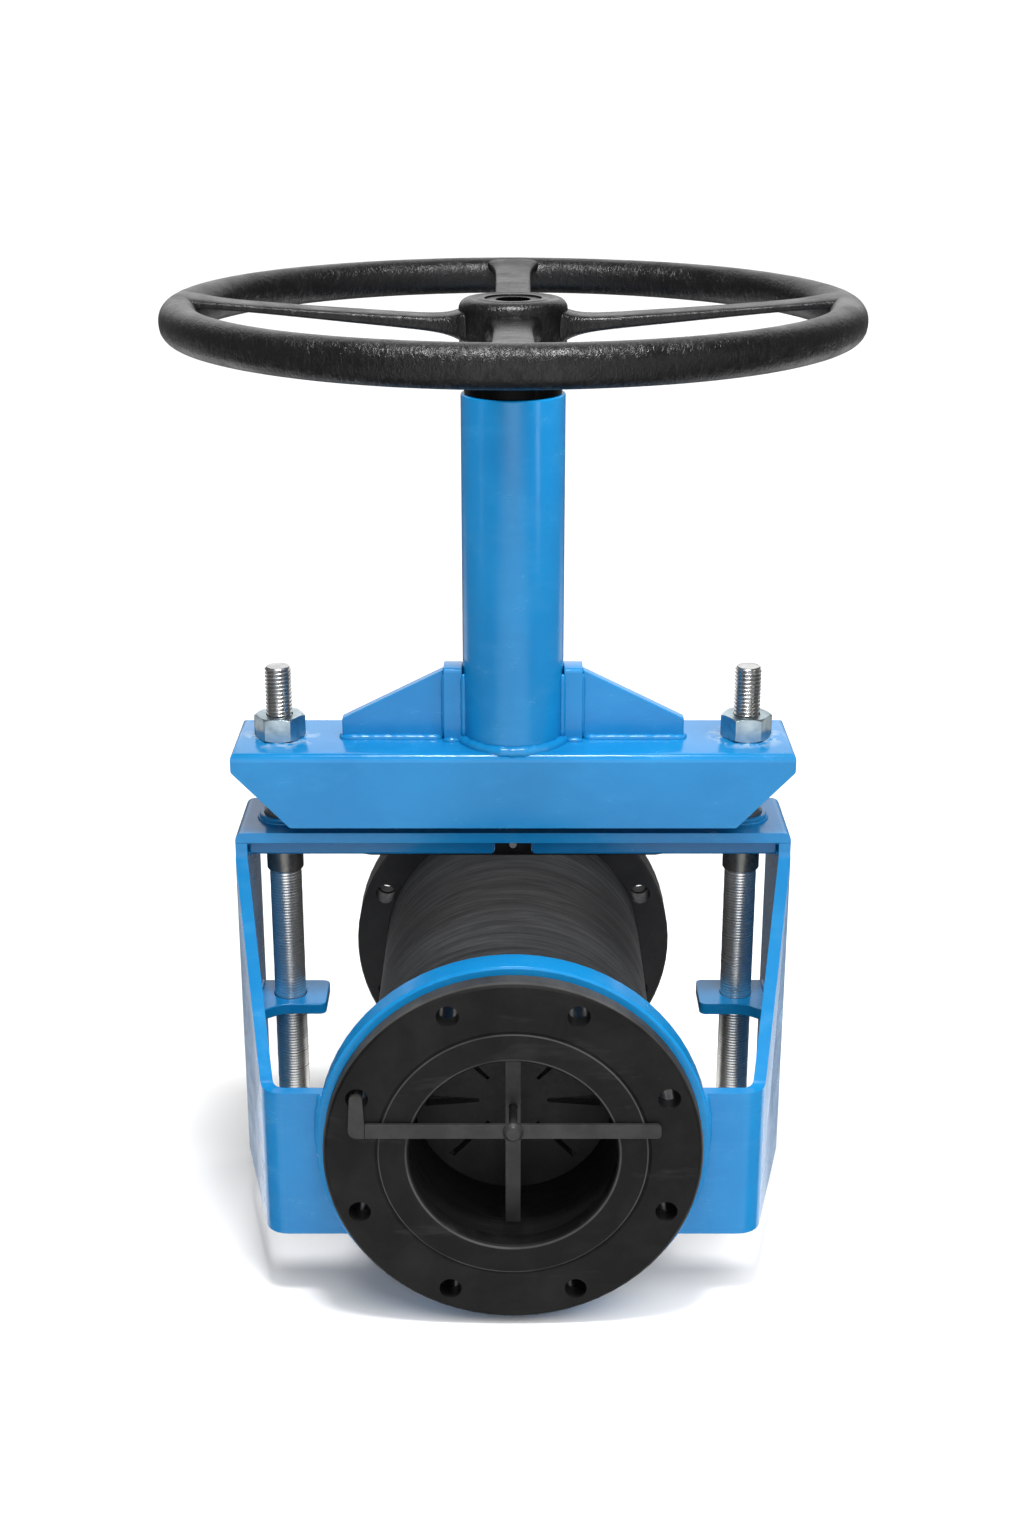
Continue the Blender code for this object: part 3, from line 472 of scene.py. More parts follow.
@dataclass(frozen=True)
class WrappedRubber:
    """Rubber cured under a cloth wrap: fine rings round the sleeve, a faint weave, and painted shade
    inside the bore, where there is also less dust.
    """

    name: str = "wrapped_rubber"
    colour: Colour = (0.0150, 0.0158, 0.0166)
    dust: Colour = (0.062, 0.065, 0.067)
    shade: Colour = (0.006, 0.006, 0.0065)
    # colour of the painted shade inside the bore: near black, with less dust than outside
    bore_shade: Colour = (0.0035, 0.0035, 0.0035)
    bore: float = 0.078
    rough: float = 0.62

    def build(self) -> bpy.types.Material:
        """Build the material.

        Returns:
            The finished material.
        """
        g = Graph(self.name)
        bands = g.noise(1.0, 5.0, 0.70, g.stretch((13.0, 150.0, 13.0)), 0.8)
        coarse = g.noise(1.0, 2.0, 0.5, g.stretch((3.0, 30.0, 3.0), (2.0, 1.0, 4.0)), 0.5)
        threads = g.noise(1.0, 2.0, 0.6, g.stretch((90.0, 900.0, 90.0)))
        cloud = g.noise(18.0, 4.0, 0.6)
        base = g.mix(g.ramp(bands, 0.42, 0.72, 0.0, 0.65), self.colour, self.dust)
        base = g.mix(g.ramp(threads, 0.58, 0.80, 0.0, 0.40), base, self.dust)
        base = g.mix(g.ramp(cloud, 0.3, 0.7, 0.45, 0.0), base, self.shade)
        x, _, z = g.parts()
        across = g.length(x, z)
        # painted shade: the bore wall darkened towards near black, with less dust
        base = g.mix(g.ramp(across, self.bore, self.bore + 0.004, 0.85, 0.0), base, self.bore_shade)
        rough = g.ramp(bands, 0.3, 0.7, self.rough + 0.1, self.rough - 0.08)
        normal = g.bump(threads, 0.00030, 0.7)
        normal = g.bump(bands, 0.0011, 0.6, normal)
        normal = g.bump(coarse, 0.0016, 0.35, normal)
        return g.finish(base, rough, 0.0, normal, Specular_IOR_Level=0.30)


@dataclass(frozen=True)
class TurnedSteel:
    """Turned steel with fine rings across the bar."""

    name: str = "turned_steel"
    colour: Colour = (0.93, 0.91, 0.87)
    dark: Colour = (0.56, 0.56, 0.55)
    rough: float = 0.25
    pitch: float = 0.0024

    def build(self) -> bpy.types.Material:
        """Build the material.

        Returns:
            The finished material.
        """
        g = Graph(self.name)
        rings = g.node("ShaderNodeTexWave", wave_type="BANDS", bands_direction="Z",
                       wave_profile="SIN")
        g.plug(rings.inputs["Vector"], g.place)
        rings.inputs["Scale"].default_value = math.pi / (10.0 * self.pitch)
        rings.inputs["Distortion"].default_value = 0.35
        rings.inputs["Detail"].default_value = 2.0
        rings.inputs["Detail Scale"].default_value = 2.0
        groove = rings.outputs["Fac"]
        uneven = g.noise(1.0, 3.0, 0.6, g.stretch((2.0, 2.0, 420.0)))
        base = g.mix(g.ramp(groove, 0.1, 0.8, 0.50, 0.0), self.colour, self.dark)
        base = g.mix(g.ramp(uneven, 0.50, 0.75, 0.0, 0.35), base, self.dark)
        rough = g.ramp(uneven, 0.3, 0.7, self.rough, self.rough + 0.10)
        normal = g.bump(groove, 0.00030, 0.5)
        normal = g.bump(uneven, 0.00004, 0.5, normal)
        return g.finish(base, rough, 0.9, normal)


@dataclass(frozen=True)
class PlatedSteel:
    """Zinc plate, tinted bluish as painted reflection of the blue paint round it, or another uncoated
    metal with the given tint.
    """

    name: str = "zinc_plate"
    # painted reflection: the bluish tint stands in for the blue paint reflected in the zinc
    colour: Colour = (0.46, 0.56, 0.61)
    dull: Colour = (0.27, 0.34, 0.38)
    rough: float = 0.26

    def build(self) -> bpy.types.Material:
        """Build the material.

        Returns:
            The finished material.
        """
        g = Graph(self.name)
        cloud = g.noise(60.0, 5.0, 0.65, None, 0.5)
        fine = g.noise(700.0, 2.0, 0.6)
        base = g.mix(g.ramp(cloud, 0.38, 0.70), self.colour, self.dull)
        rough = g.ramp(cloud, 0.3, 0.7, self.rough, self.rough + 0.16)
        normal = g.bump(fine, 0.00006, 0.5)
        return g.finish(base, rough, 1.0, normal)


@dataclass(frozen=True)
class DullBlack:
    """Dull black paint, plastic or oiled strip, told apart by its numbers."""

    name: str = "dull_black"
    colour: Colour = (0.004, 0.004, 0.0045)
    light: Colour = (0.012, 0.012, 0.012)
    rough: float = 0.45
    metal: float = 0.0
    grain: float = 300.0
    gloss: float = 0.3

    def build(self) -> bpy.types.Material:
        """Build the material.

        Returns:
            The finished material.
        """
        g = Graph(self.name)
        cloud = g.noise(38.0, 4.0, 0.6)
        fine = g.noise(self.grain, 3.0, 0.6)
        base = g.mix(g.ramp(cloud, 0.40, 0.75, 0.0, 0.7), self.colour, self.light)
        rough = g.ramp(fine, 0.3, 0.7, self.rough - 0.05, self.rough + 0.12)
        normal = g.bump(fine, 0.00012, 0.5)
        return g.finish(base, rough, self.metal, normal, Specular_IOR_Level=self.gloss)


class Finishes:
    """Builds each material once and hands it out by name."""

    def __init__(self) -> None:
        """Build every finish of the valve."""
        makers = {
            "blue": BluePaint(),
            "blue_beam": FleckedBluePaint(),
            "blue_ring": DrilledBluePaint(),
            # painted shade: a darker copy of the blue enamel for the guide rails, which lie in the top
            # plate's shadow
            "blue_rail": BluePaint("blue_enamel_rail_painted_shade", (0.004, 0.140, 0.340), (0.020, 0.200, 0.420),
                                   (0.003, 0.110, 0.290)),
            "cast": CastBlack(),
            "rubber": MouldedRubber(),
            "wrap": WrappedRubber(),
            "turned": TurnedSteel(),
            "zinc": PlatedSteel(),
            "thread": PlatedSteel("bright_thread", (0.60, 0.60, 0.59), (0.36, 0.37, 0.38), 0.22),
            "machined": PlatedSteel("machined_steel", (0.48, 0.47, 0.46), (0.30, 0.30, 0.30), 0.3),
            "bronze": PlatedSteel("machined_bronze", (0.58, 0.36, 0.15), (0.38, 0.23, 0.10), 0.3),
            "jaw": DullBlack("jaw_black"),
            # painted shade: a darker copy of the dull black, standing in for the wheel's shadow on the
            # collar
            "collar": DullBlack("collar_black_painted_shade", (0.001, 0.001, 0.001), (0.002, 0.002, 0.002), 0.25, 0.0,
                                300.0, 0.06),
            "ring_black": DullBlack("ring_black", (0.010, 0.010, 0.011), (0.02, 0.02, 0.02), 0.4),
            "bush": DullBlack("bush_steel", (0.20, 0.195, 0.18), (0.30, 0.29, 0.27), 0.30, 0.85),
            "strip": DullBlack("oiled_strip", (0.030, 0.030, 0.030), (0.060, 0.059, 0.058), 0.42,
                               0.3, 500.0),
            "plug": DullBlack("plug_plastic", (0.010, 0.010, 0.010), (0.024, 0.024, 0.024), 0.5),
        }
        self.made = {key: maker.build() for key, maker in makers.items()}

    def __getitem__(self, key: str) -> bpy.types.Material:
        """Return the material kept under a key."""
        return self.made[key]


# ------------------------------------------------------------------ surfaces
def smooth_step(value: np.ndarray) -> np.ndarray:
    """Return 3t squared minus 2t cubed of the value clamped to 0..1."""
    t = np.clip(value, 0.0, 1.0)
    return t * t * (3.0 - 2.0 * t)


def grid_faces(rows: int, columns: int, wrap_rows: bool, wrap_columns: bool) -> np.ndarray:
    """Number the quads of a grid whose points are stored row by row.

    Args:
        rows: Number of rows.
        columns: Number of columns.
        wrap_rows: Whether the last row joins the first.
        wrap_columns: Whether the last column joins the first.

    Returns:
        An array of four point numbers for each face.
    """
    i = np.arange(rows if wrap_rows else rows - 1)
    j = np.arange(columns if wrap_columns else columns - 1)
    a, b = np.meshgrid(i, j, indexing="ij")
    a2, b2 = (a + 1) % rows, (b + 1) % columns
    quads = np.stack((a * columns + b, a2 * columns + b, a2 * columns + b2, a * columns + b2), -1)
    return quads.reshape(-1, 4)


def make_piece(name: str, points: np.ndarray, faces: Iterable[Sequence[int]],
               sharp: float = 35.0) -> bpy.types.Object:
    """Put points and faces into one object with outward faces.

    Args:
        name: Name of the object.
        points: Array of positions.
        faces: Point numbers of each face.
        sharp: Angle in degrees past which an edge stays sharp.

    Returns:
        The object.
    """
    mesh = bpy.data.meshes.new(name)
    mesh.from_pydata(np.asarray(points, float).reshape(-1, 3).tolist(), [],
                     [list(map(int, f)) for f in faces])
    work = bmesh.new()
    work.from_mesh(mesh)
    bmesh.ops.remove_doubles(work, verts=work.verts, dist=2e-6)
    bmesh.ops.recalc_face_normals(work, faces=work.faces)
    work.to_mesh(mesh)
    work.free()
    mesh.shade_smooth()
    mesh.set_sharp_from_angle(angle=math.radians(sharp))
    obj = bpy.data.objects.new(name, mesh)
    bpy.context.scene.collection.objects.link(obj)
    return obj


def round_corners(points: Sequence[Sequence[float]], radii: Sequence[float],
                  steps: int = 5) -> np.ndarray:
    """Round the corners of a closed outline.

    Each corner is replaced by an arc that touches both of its sides.

    Args:
        points: Corners in order.
        radii: Radius at each corner; 0 keeps the corner.
        steps: Spans in each arc.

    Returns:
        The outline as an array.
    """
    corner = np.asarray(points, float)
    out = []
    for i, p in enumerate(corner):
        if radii[i] <= 0.0:
            out.append(p[None])
            continue
        a, b = corner[i - 1] - p, corner[(i + 1) % len(corner)] - p
        a, b = a / np.linalg.norm(a), b / np.linalg.norm(b)
        half = math.acos(float(np.clip(a @ b, -1, 1))) / 2
        centre = p + (a + b) / np.linalg.norm(a + b) * radii[i] / math.sin(half)
        start = p + a * radii[i] / math.tan(half) - centre
        end = p + b * radii[i] / math.tan(half) - centre
        span = math.pi - 2 * half
        t = np.linspace(0, 1, steps + 1)[:, None]
        arc = (np.sin((1 - t) * span) * start + np.sin(t * span) * end) / math.sin(span)
        out.append(centre + arc)
    return np.concatenate(out)


def turn(name: str, profile: np.ndarray, axis: Axis = Axis.Z, segments: int = 96,
         centre: Sequence[float] = (0.0, 0.0, 0.0), sharp: float = 35.0) -> bpy.types.Object:
    """Turn a closed profile about an axis.

    A point (r, h) of the profile goes to (r cos t, r sin t) about the axis, at height h.

    Args:
        name: Name of the piece.
        profile: Closed outline of (radius, height).
        axis: Axis of the turn.
        segments: Steps round the turn.
        centre: Shift of the whole shape.
        sharp: Angle in degrees past which an edge stays sharp.

    Returns:
        The object.
    """
    profile = np.asarray(profile, float)
    t = TAU * np.arange(segments) / segments
    across = np.maximum(profile[:, :1], 0.0)
    u, v = across * np.cos(t), across * np.sin(t)
    h = np.repeat(profile[:, 1:2], segments, 1)
    points = np.stack((u, h, v) if axis is Axis.Y else (u, v, h), -1) + np.asarray(centre)
    faces = grid_faces(len(profile), segments, True, True)
    on_axis = profile[:, 0] < 1e-9
    if on_axis.any():
        rows = faces[:, 0] // segments
        keep = ~(on_axis[rows] & on_axis[(rows + 1) % len(profile)])
        faces = faces[keep]
    return make_piece(name, points, clean_quads(points.reshape(-1, 3), faces), sharp)


def clean_quads(points: np.ndarray, faces: np.ndarray) -> list[list[int]]:
    """Merge repeated corner points and drop faces that have no area.

    Args:
        points: Positions.
        faces: Quads.

    Returns:
        Faces with three or four different points each.
    """
    keys = np.round(points * 1e6).astype(np.int64)
    _, first, inverse = np.unique(keys, axis=0, return_index=True, return_inverse=True)
    same = first[inverse.reshape(-1)]
    out = []
    for face in same[faces]:
        ring = [int(p) for k, p in enumerate(face) if p != face[k - 1]]
        if len(set(ring)) >= 3:
            out.append(ring)
    return out


def sweep(name: str, path: np.ndarray, section: np.ndarray, side: np.ndarray, up: np.ndarray,
          closed: bool = False, scale: np.ndarray | None = None,
          sharp: float = 60.0) -> bpy.types.Object:
    """Carry a closed section along a path.

    A section point (a, b) goes to path + scale * (a * side + b * up) at each station.

    Args:
        name: Name of the piece.
        path: Stations along the path.
        section: Closed outline of the section.
        side: First section direction at each station.
        up: Second section direction at each station.
        closed: Whether the path closes on itself.
        scale: Size factor at each station.
        sharp: Angle in degrees past which an edge stays sharp.

    Returns:
        The object.
    """
    path, section = np.asarray(path, float), np.asarray(section, float)
    size = np.ones(len(path)) if scale is None else scale
    side = np.broadcast_to(np.asarray(side, float), path.shape)
    up = np.broadcast_to(np.asarray(up, float), path.shape)
    points = path[:, None] + size[:, None, None] * (
        section[None, :, :1] * side[:, None] + section[None, :, 1:] * up[:, None])
    faces = grid_faces(len(path), len(section), closed, True).tolist()
    if not closed:
        count = len(section)
        last = (len(path) - 1) * count
        faces += [list(range(count)), list(range(last, last + count))[::-1]]
    return make_piece(name, points, faces, sharp)


def circle(radius: float, count: int) -> np.ndarray:
    """Return the points of a circle round the origin."""
    t = TAU * np.arange(count) / count
    return radius * np.stack((np.cos(t), np.sin(t)), 1)


@dataclass
class Fitter:
    """Dresses pieces and fixes them to bodies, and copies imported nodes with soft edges."""

    finishes: Finishes
    frame: dict
    count: int = 0

    def dress(self, obj: bpy.types.Object, finish: str, body: Body,
              nodes: Sequence[str] = ()) -> bpy.types.Object:
        """Give a piece its material, its body and the nodes that it stands for.

        Args:
            obj: The piece.
            finish: Key of the finish.
            body: Body that it rides on.
            nodes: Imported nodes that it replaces.

        Returns:
            The piece.
        """
        obj.data.materials.clear()
        obj.data.materials.append(self.finishes[finish])
        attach(obj, body.value)
        if nodes:
            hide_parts(*nodes)
        self.count += 1
        LOG.info("piece %s rides on %s", obj.name, body.value)
        return obj

    def soften(self, node: str, finish: str, body: Body, edge: float = 0.0008,
               segments: int = 3) -> bpy.types.Object:
        """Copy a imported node, merge its loose triangles and round its edges.

        Args:
            node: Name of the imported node.
            finish: Key of the finish.
            body: Body that it rides on.
            edge: Width of the rounded edge.
            segments: Faces across the rounded edge.

        Returns:
            The new piece.
        """
        mesh = self.frame["nodes"][node].data.copy()
        work = bmesh.new()
        work.from_mesh(mesh)
        bmesh.ops.remove_doubles(work, verts=work.verts, dist=1e-5)
        bmesh.ops.dissolve_limit(work, angle_limit=math.radians(0.6), verts=work.verts,
                                 edges=work.edges)
        work.to_mesh(mesh)
        work.free()
        mesh.shade_smooth()
        mesh.set_sharp_from_angle(angle=math.radians(30.0))
        obj = bpy.data.objects.new(node + "_soft", mesh)
        bpy.context.scene.collection.objects.link(obj)
        if edge > 0.0:
            bevel = obj.modifiers.new("edge", "BEVEL")
            bevel.width, bevel.segments = edge, segments
            bevel.limit_method, bevel.angle_limit = "ANGLE", math.radians(30.0)
            bevel.use_clamp_overlap = True
            bevel.harden_normals = True
        return self.dress(obj, finish, body, (node,))


# ------------------------------------------------------------------ sub-assemblies
@dataclass
class Handwheel:
    """Cast wheel with a rim, four flat spokes and a hub, and the pieces in its hub."""

    rim_radius: float = 0.23575
    rim_half: float = 0.01425
    rim_z: float = 0.567
    hub_radius: float = 0.039
    hub_low: float = 0.5222
    hub_top: float = 0.579
    recess_radius: float = 0.0205
    recess_depth: float = 0.005
    bore_radius: float = 0.0183
    spoke_width: float = 0.0285
    spoke_thick: float = 0.0105
    root_z: float = 0.5593
    tip_z: float = 0.5765
    spokes: int = 4

    def rim(self) -> bpy.types.Object:
        """Make the rim.

        The section is a rounded form, fuller below, with a thin parting line on its outer
        side; its size wobbles slightly round the wheel, as a casting does.

        Returns:
            The rim.
        """
        around, across = 288, 44
        t = TAU * np.arange(around) / around
        a = TAU * np.arange(across) / across
        full = np.where(np.sin(a) < 0, 0.78, 0.94)
        r = np.sign(np.cos(a)) * np.abs(np.cos(a)) ** full
        z = np.sign(np.sin(a)) * np.abs(np.sin(a)) ** np.where(np.sin(a) < 0, 0.86, 0.97)
        seam = np.exp(-((a - (TAU - 0.42)) / 0.05) ** 2) + np.exp(-((a - math.pi - 0.40) / 0.05) ** 2)
        size = self.rim_half * (0.985 + 0.006 * np.sin(3 * t + 0.6)[:, None]
                                + 0.004 * np.sin(7 * t + 2.0)[:, None])
        fade = 0.5 + 0.5 * np.sin(5 * t + 1.0)[:, None] * np.sin(2 * t)[:, None]
        radial = self.rim_radius + size * r + 0.00028 * fade * seam * np.sign(np.cos(a))
        height = self.rim_z + size * z
        points = np.stack((radial * np.cos(t)[:, None], radial * np.sin(t)[:, None], height), -1)
        return make_piece("wheel_rim", points, grid_faces(around, across, True, True), 80)

    def hub(self) -> bpy.types.Object:
        """Make the hub as a turned ring with a rounded top edge and a shallow dish.

        Returns:
            The hub.
        """
        r, low, top = self.hub_radius, self.hub_low, self.hub_top
        floor = top - self.recess_depth
        lip = self.recess_radius
        profile = [(self.bore_radius, low), (r - 0.0005, low), (r, top - 0.0005),
                   (0.031, top - 0.0005), (0.0268, top - 0.0016), (0.0240, top - 0.0006),
                   (lip, top - 0.0006), (lip, floor), (self.bore_radius, floor)]
        radii = [0.0, 0.003, 0.0075, 0.002, 0.002, 0.0006, 0.0006, 0.0, 0.0]
        return turn("wheel_hub", round_corners(profile, radii, 6), Axis.Z, 112)

    def spoke(self, index: int) -> bpy.types.Object:
        """Make one spoke.

        The section is a flat rounded bar; its width flares in a curve at both ends, its
        thickness falls outward, and it rises from the hub to the top of the rim.

        Args:
            index: Number of the spoke, from 0 along +X.

        Returns:
            The spoke.
        """
        stations, sides = 56, 28
        t = np.linspace(0.0, 1.0, stations)
        start, end = self.hub_radius - 0.008, self.rim_radius + 0.002
        dist = start + (end - start) * t
        flare_in = np.exp(-(dist - self.hub_radius) / 0.010)
        flare_out = np.exp(-(self.rim_radius - self.rim_half - dist) / 0.012)
        wide = self.spoke_width / 2 * (0.96 + 0.30 * np.minimum(flare_in, 1.5)
                                       + 0.42 * np.minimum(flare_out, 1.25))
        thick = self.spoke_thick / 2 * (1.0 - 0.45 * smooth_step(t * 1.15)
                                        + 0.85 * np.minimum(flare_in, 1.6)
                                        + 0.25 * np.minimum(flare_out, 1.2))
        height = self.root_z + (self.tip_z - self.root_z) * (t ** 1.05)
        a = TAU * (np.arange(sides) + 0.5) / sides
        u = np.sign(np.cos(a)) * np.abs(np.cos(a)) ** 0.42
        v = np.sign(np.sin(a)) * np.abs(np.sin(a)) ** 0.62
        across = wide[:, None] * u
        z = height[:, None] + thick[:, None] * v
        angle = TAU / self.spokes * index
        x = dist[:, None] * math.cos(angle) - across * math.sin(angle)
        y = dist[:, None] * math.sin(angle) + across * math.cos(angle)
        faces = grid_faces(stations, sides, False, True).tolist()
        last = (stations - 1) * sides
        faces += [list(range(sides)), list(range(last, last + sides))[::-1]]
        return make_piece(f"wheel_spoke_{index + 1}", np.stack((x, y, z), -1), faces, 70)

    def build(self, fit: Fitter) -> None:
        """Build the wheel and the pieces that turn with it.

        Args:
            fit: Fitter that dresses the pieces.
        """
        fit.dress(self.rim(), "cast", Body.DRIVE, ("handwheel",))
        fit.dress(self.hub(), "cast", Body.DRIVE)
        for index in range(self.spokes):
            fit.dress(self.spoke(index), "cast", Body.DRIVE)
        fit.soften("hub_cap_ring", "collar", Body.DRIVE, 0.0004)
        fit.soften("drive_sleeve", "machined", Body.DRIVE, 0.0005)
        fit.soften("wheel_key", "machined", Body.DRIVE, 0.0004)
        fit.soften("stem_nut", "bronze", Body.DRIVE, 0.0005)


@dataclass
class WeldBeads:
    """Painted weld beads along the joints, as wavy round cords half sunk in the corner."""

    radius: float = 0.0030
    ripple: float = 0.05
    pitch: float = 0.0085
    made: int = 0

    def bead(self, fit: Fitter, name: str, corners: Sequence[Sequence[float]], body: Body,
             slot: str, radius: float | None = None, closed: bool = False) -> None:
        """Lay one bead along a line of corners.

        The cord's radius is the bead radius times one plus small sine waves along its
        length, and its ends taper off.

        Args:
            fit: Fitter that dresses the pieces.
            name: Name of the bead.
            corners: Points of the path.
            body: Body that it rides on.
            slot: Not used.
            radius: Radius of the bead.
            closed: Whether the path closes on itself.
        """
        path = np.asarray(corners, float)
        if closed:
            path = np.concatenate((path, path[:1]))
        step = np.linalg.norm(np.diff(path, axis=0), axis=1)
        along = np.concatenate(([0.0], np.cumsum(step)))
        count = max(6, int(along[-1] / (self.pitch / 4)))
        s = np.linspace(0.0, along[-1], count, endpoint=not closed)
        line = np.stack([np.interp(s, along, path[:, k]) for k in range(3)], 1)
        ahead = np.roll(line, -1, 0) - np.roll(line, 1, 0)
        if not closed:
            ahead[0], ahead[-1] = line[1] - line[0], line[-1] - line[-2]
        ahead /= np.linalg.norm(ahead, axis=1)[:, None]
        helper = np.where(np.abs(ahead[:, 2:]) > 0.9, [[1.0, 0.0, 0.0]], [[0.0, 0.0, 1.0]])
        side = np.cross(ahead, helper)
        side /= np.linalg.norm(side, axis=1)[:, None]
        up = np.cross(side, ahead)
        phase = 1.7 * self.made
        size = 1.0 + self.ripple * (np.sin(TAU * s / self.pitch + phase)
                                    + 0.9 * np.sin(TAU * s / 0.019 + 2.1 * phase))
        if not closed:
            size *= np.sqrt(np.clip(np.minimum(s, along[-1] - s) / 0.004 + 0.12, 0.0, 1.0))
        section = circle(radius or self.radius, 12)
        obj = sweep(name, line, section, side, up, closed, size, 80)
        fit.dress(obj, "blue", body)
        self.made += 1


@dataclass
class Yoke:
    """Cross beam, column, gussets, tie rods with their nuts, and the lower jaw."""

    beads: WeldBeads
    column_radius: float = 0.03805
    column_wall: float = 0.005
    column_low: float = 0.2490
    column_top: float = 0.511
    rod_x: float = 0.178
    rod_radius: float = 0.0125
    stud_radius: float = 0.010
    stud_low: float = 0.2403
    stud_top: float = 0.305
    rod_low: float = -0.141
    thread_pitch: float = 0.0030
    thread_depth: float = 0.0017
    foot_bead: float = 0.0046
    web_y: float = 0.0052
    web_near: float = 0.0540
    web_far: float = 0.1315
    pad_x: float = 0.0527
    pad_y: float = 0.0117
    pad_top: float = 0.300

    def column(self) -> bpy.types.Object:
        """Make the column tube as a turned ring with broken edges.

        Returns:
            The tube.
        """
        inner = self.column_radius - self.column_wall
        profile = [(inner, self.column_low), (self.column_radius, self.column_low),
                   (self.column_radius, self.column_top), (inner, self.column_top)]
        return turn("column", round_corners(profile, [0.0, 0.0, 0.0012, 0.0012], 4), Axis.Z, 128)

    def rod(self, name: str, x: float) -> bpy.types.Object:
        """Make the thick part of a tie rod with fine turned rings.

        The radius is the rod radius less a small sine groove along the height.

        Args:
            name: Name of the piece.
            x: Place across the valve.

        Returns:
            The rod.
        """
        low, high = self.rod_low, self.stud_low
        z = np.linspace(low + 0.002, high - 0.0012, 470)
        r = self.rod_radius - 0.00010 * (1 + np.sin(TAU * z / 0.0024)) \
            - 0.00005 * (1 + np.sin(TAU * z / 0.0171))
        side = np.stack((r, z), 1)
        profile = np.concatenate(([[0.0, low], [self.rod_radius - 0.002, low]], side,
                                  [[self.rod_radius - 0.0012, high], [0.0, high]]))
        return turn(name, profile, Axis.Z, 40, (x, 0.0, 0.0), 50)

    def stud(self, name: str, x: float) -> bpy.types.Object:
        """Make the threaded stud on top of a tie rod.

        The surface is (r cos t, r sin t, z), where r follows a rounded V thread whose phase
        runs on with t, so that the ridges climb as a helix; the top fades to a chamfer.

        Args:
            name: Name of the piece.
            x: Place across the valve.

        Returns:
            The stud.
        """
        return threaded_bar(name, self.stud_radius, self.stud_low + 0.0002, self.stud_top,
                            self.thread_pitch, self.thread_depth, (x, 0.0, 0.0))

    def build(self, fit: Fitter) -> None:
        """Build the yoke.

        Args:
            fit: Fitter that dresses the pieces.
        """
        blue, yoke = "blue_yoke_paint", Body.YOKE
        fit.soften("yoke_beam", "blue_beam", yoke, 0.0022, 3)
        fit.dress(self.column(), "blue", yoke, ("column_tube",))
        for word, side in (("left", -1), ("right", 1)):
            fit.soften("gusset_pad_" + word, "blue", yoke, 0.0015, 3)
            fit.soften("gusset_web_" + word, "blue", yoke, 0.0010, 3)
            x = side * self.rod_x
            fit.dress(self.rod("rod_" + word, x), "turned", yoke,
                      ("tie_rod_" + word,))
            fit.dress(self.stud("stud_" + word, x), "thread", yoke)
            fit.soften("rod_nut_" + word, "zinc", yoke, 0.0007)
            fit.soften("jam_nut_" + word, "zinc", yoke, 0.0007)
        fit.soften("lower_jaw_beam", "jaw", yoke, 0.0012)
        fit.soften("lower_jaw_nose", "jaw", yoke, 0.0008)
        fit.soften("bearing_housing", "collar", yoke, 0.0008)
        for place in ("upper", "lower"):
            fit.soften("thrust_ring_" + place, "bronze", yoke, 0.0004)
        self.weld(fit)

    def weld(self, fit: Fitter) -> None:
        """Lay the beads of the yoke.

        Args:
            fit: Fitter that dresses the pieces.
        """
        slot, yoke, z = "blue_yoke_paint", Body.YOKE, self.column_low
        t = TAU * np.arange(64) / 64
        radius = self.column_radius + 0.0006
        foot = np.stack((radius * np.cos(t), radius * np.sin(t), np.full(64, z)), 1)
        self.beads.bead(fit, "bead_column_foot", foot, yoke, slot, self.foot_bead, True)
        for word, side in (("left", -1), ("right", 1)):
            web, pad = side * self.web_far, side * self.pad_x
            for row, y in (("front", -self.web_y), ("rear", self.web_y)):
                self.beads.bead(fit, f"bead_web_{word}_{row}",
                                [(side * self.web_near, y, z), (web, y, z)], yoke, slot)
                self.beads.bead(fit, f"bead_pad_web_{word}_{row}",
                                [(pad, y, z + 0.002), (pad, y, self.pad_top)], yoke, slot, 0.0019)
            for row, y in (("front", -self.pad_y), ("rear", self.pad_y)):
                x = side * (math.sqrt(self.column_radius ** 2 - y ** 2) + 0.0010)
                self.beads.bead(fit, f"bead_pad_column_{word}_{row}",
                                [(x, y, z + 0.002), (x, y, self.pad_top + 0.002)], yoke, slot,
                                0.0024)
                self.beads.bead(fit, f"bead_pad_foot_{word}_{row}",
                                [(side * 0.0400, y, z), (side * 0.0530, y, z)], yoke, slot,
                                0.0026)
            end = web - side * 0.0012
            self.beads.bead(fit, f"bead_web_end_{word}",
                            [(end, -self.web_y, z), (end, self.web_y, z)], yoke, slot, 0.0026)


def threaded_bar(name: str, radius: float, low: float, high: float, pitch: float, depth: float,
                 centre: Sequence[float]) -> bpy.types.Object:
    """Make a round bar with a helical thread.

    The surface is (r cos t, r sin t, z), where r follows a rounded V whose phase runs on with
    t, so that the ridges climb as a helix; the top fades into a chamfer.

    Args:
        name: Name of the piece.
        radius: Outside radius.
        low: Lower end.
        high: Upper end.
        pitch: Rise of the thread in one turn.
        depth: Depth of the thread.
        centre: Shift of the whole shape.

    Returns:
        The bar.
    """
    segments = 48
    rows = max(8, int((high - low) / pitch * 8))
    z = np.linspace(low, high, rows)[:, None]
    t = TAU * np.arange(segments)[None] / segments
    phase = (z / pitch - t / TAU) % 1.0
    ridge = np.abs(2.0 * phase - 1.0)
    ridge = smooth_step((ridge - 0.08) / 0.84)
    top = np.clip((high - z) / 0.0022, 0.0, 1.0)
    r = radius - depth * ridge * top - 0.0016 * (1.0 - top) ** 1.5
    points = np.stack((r * np.cos(t), r * np.sin(t), z + 0.0 * t), -1) + np.asarray(centre)
    faces = grid_faces(rows, segments, False, True).tolist()
    last = (rows - 1) * segments
    faces += [list(range(segments)), list(range(last, last + segments))[::-1]]
    return make_piece(name, points, faces, 50)


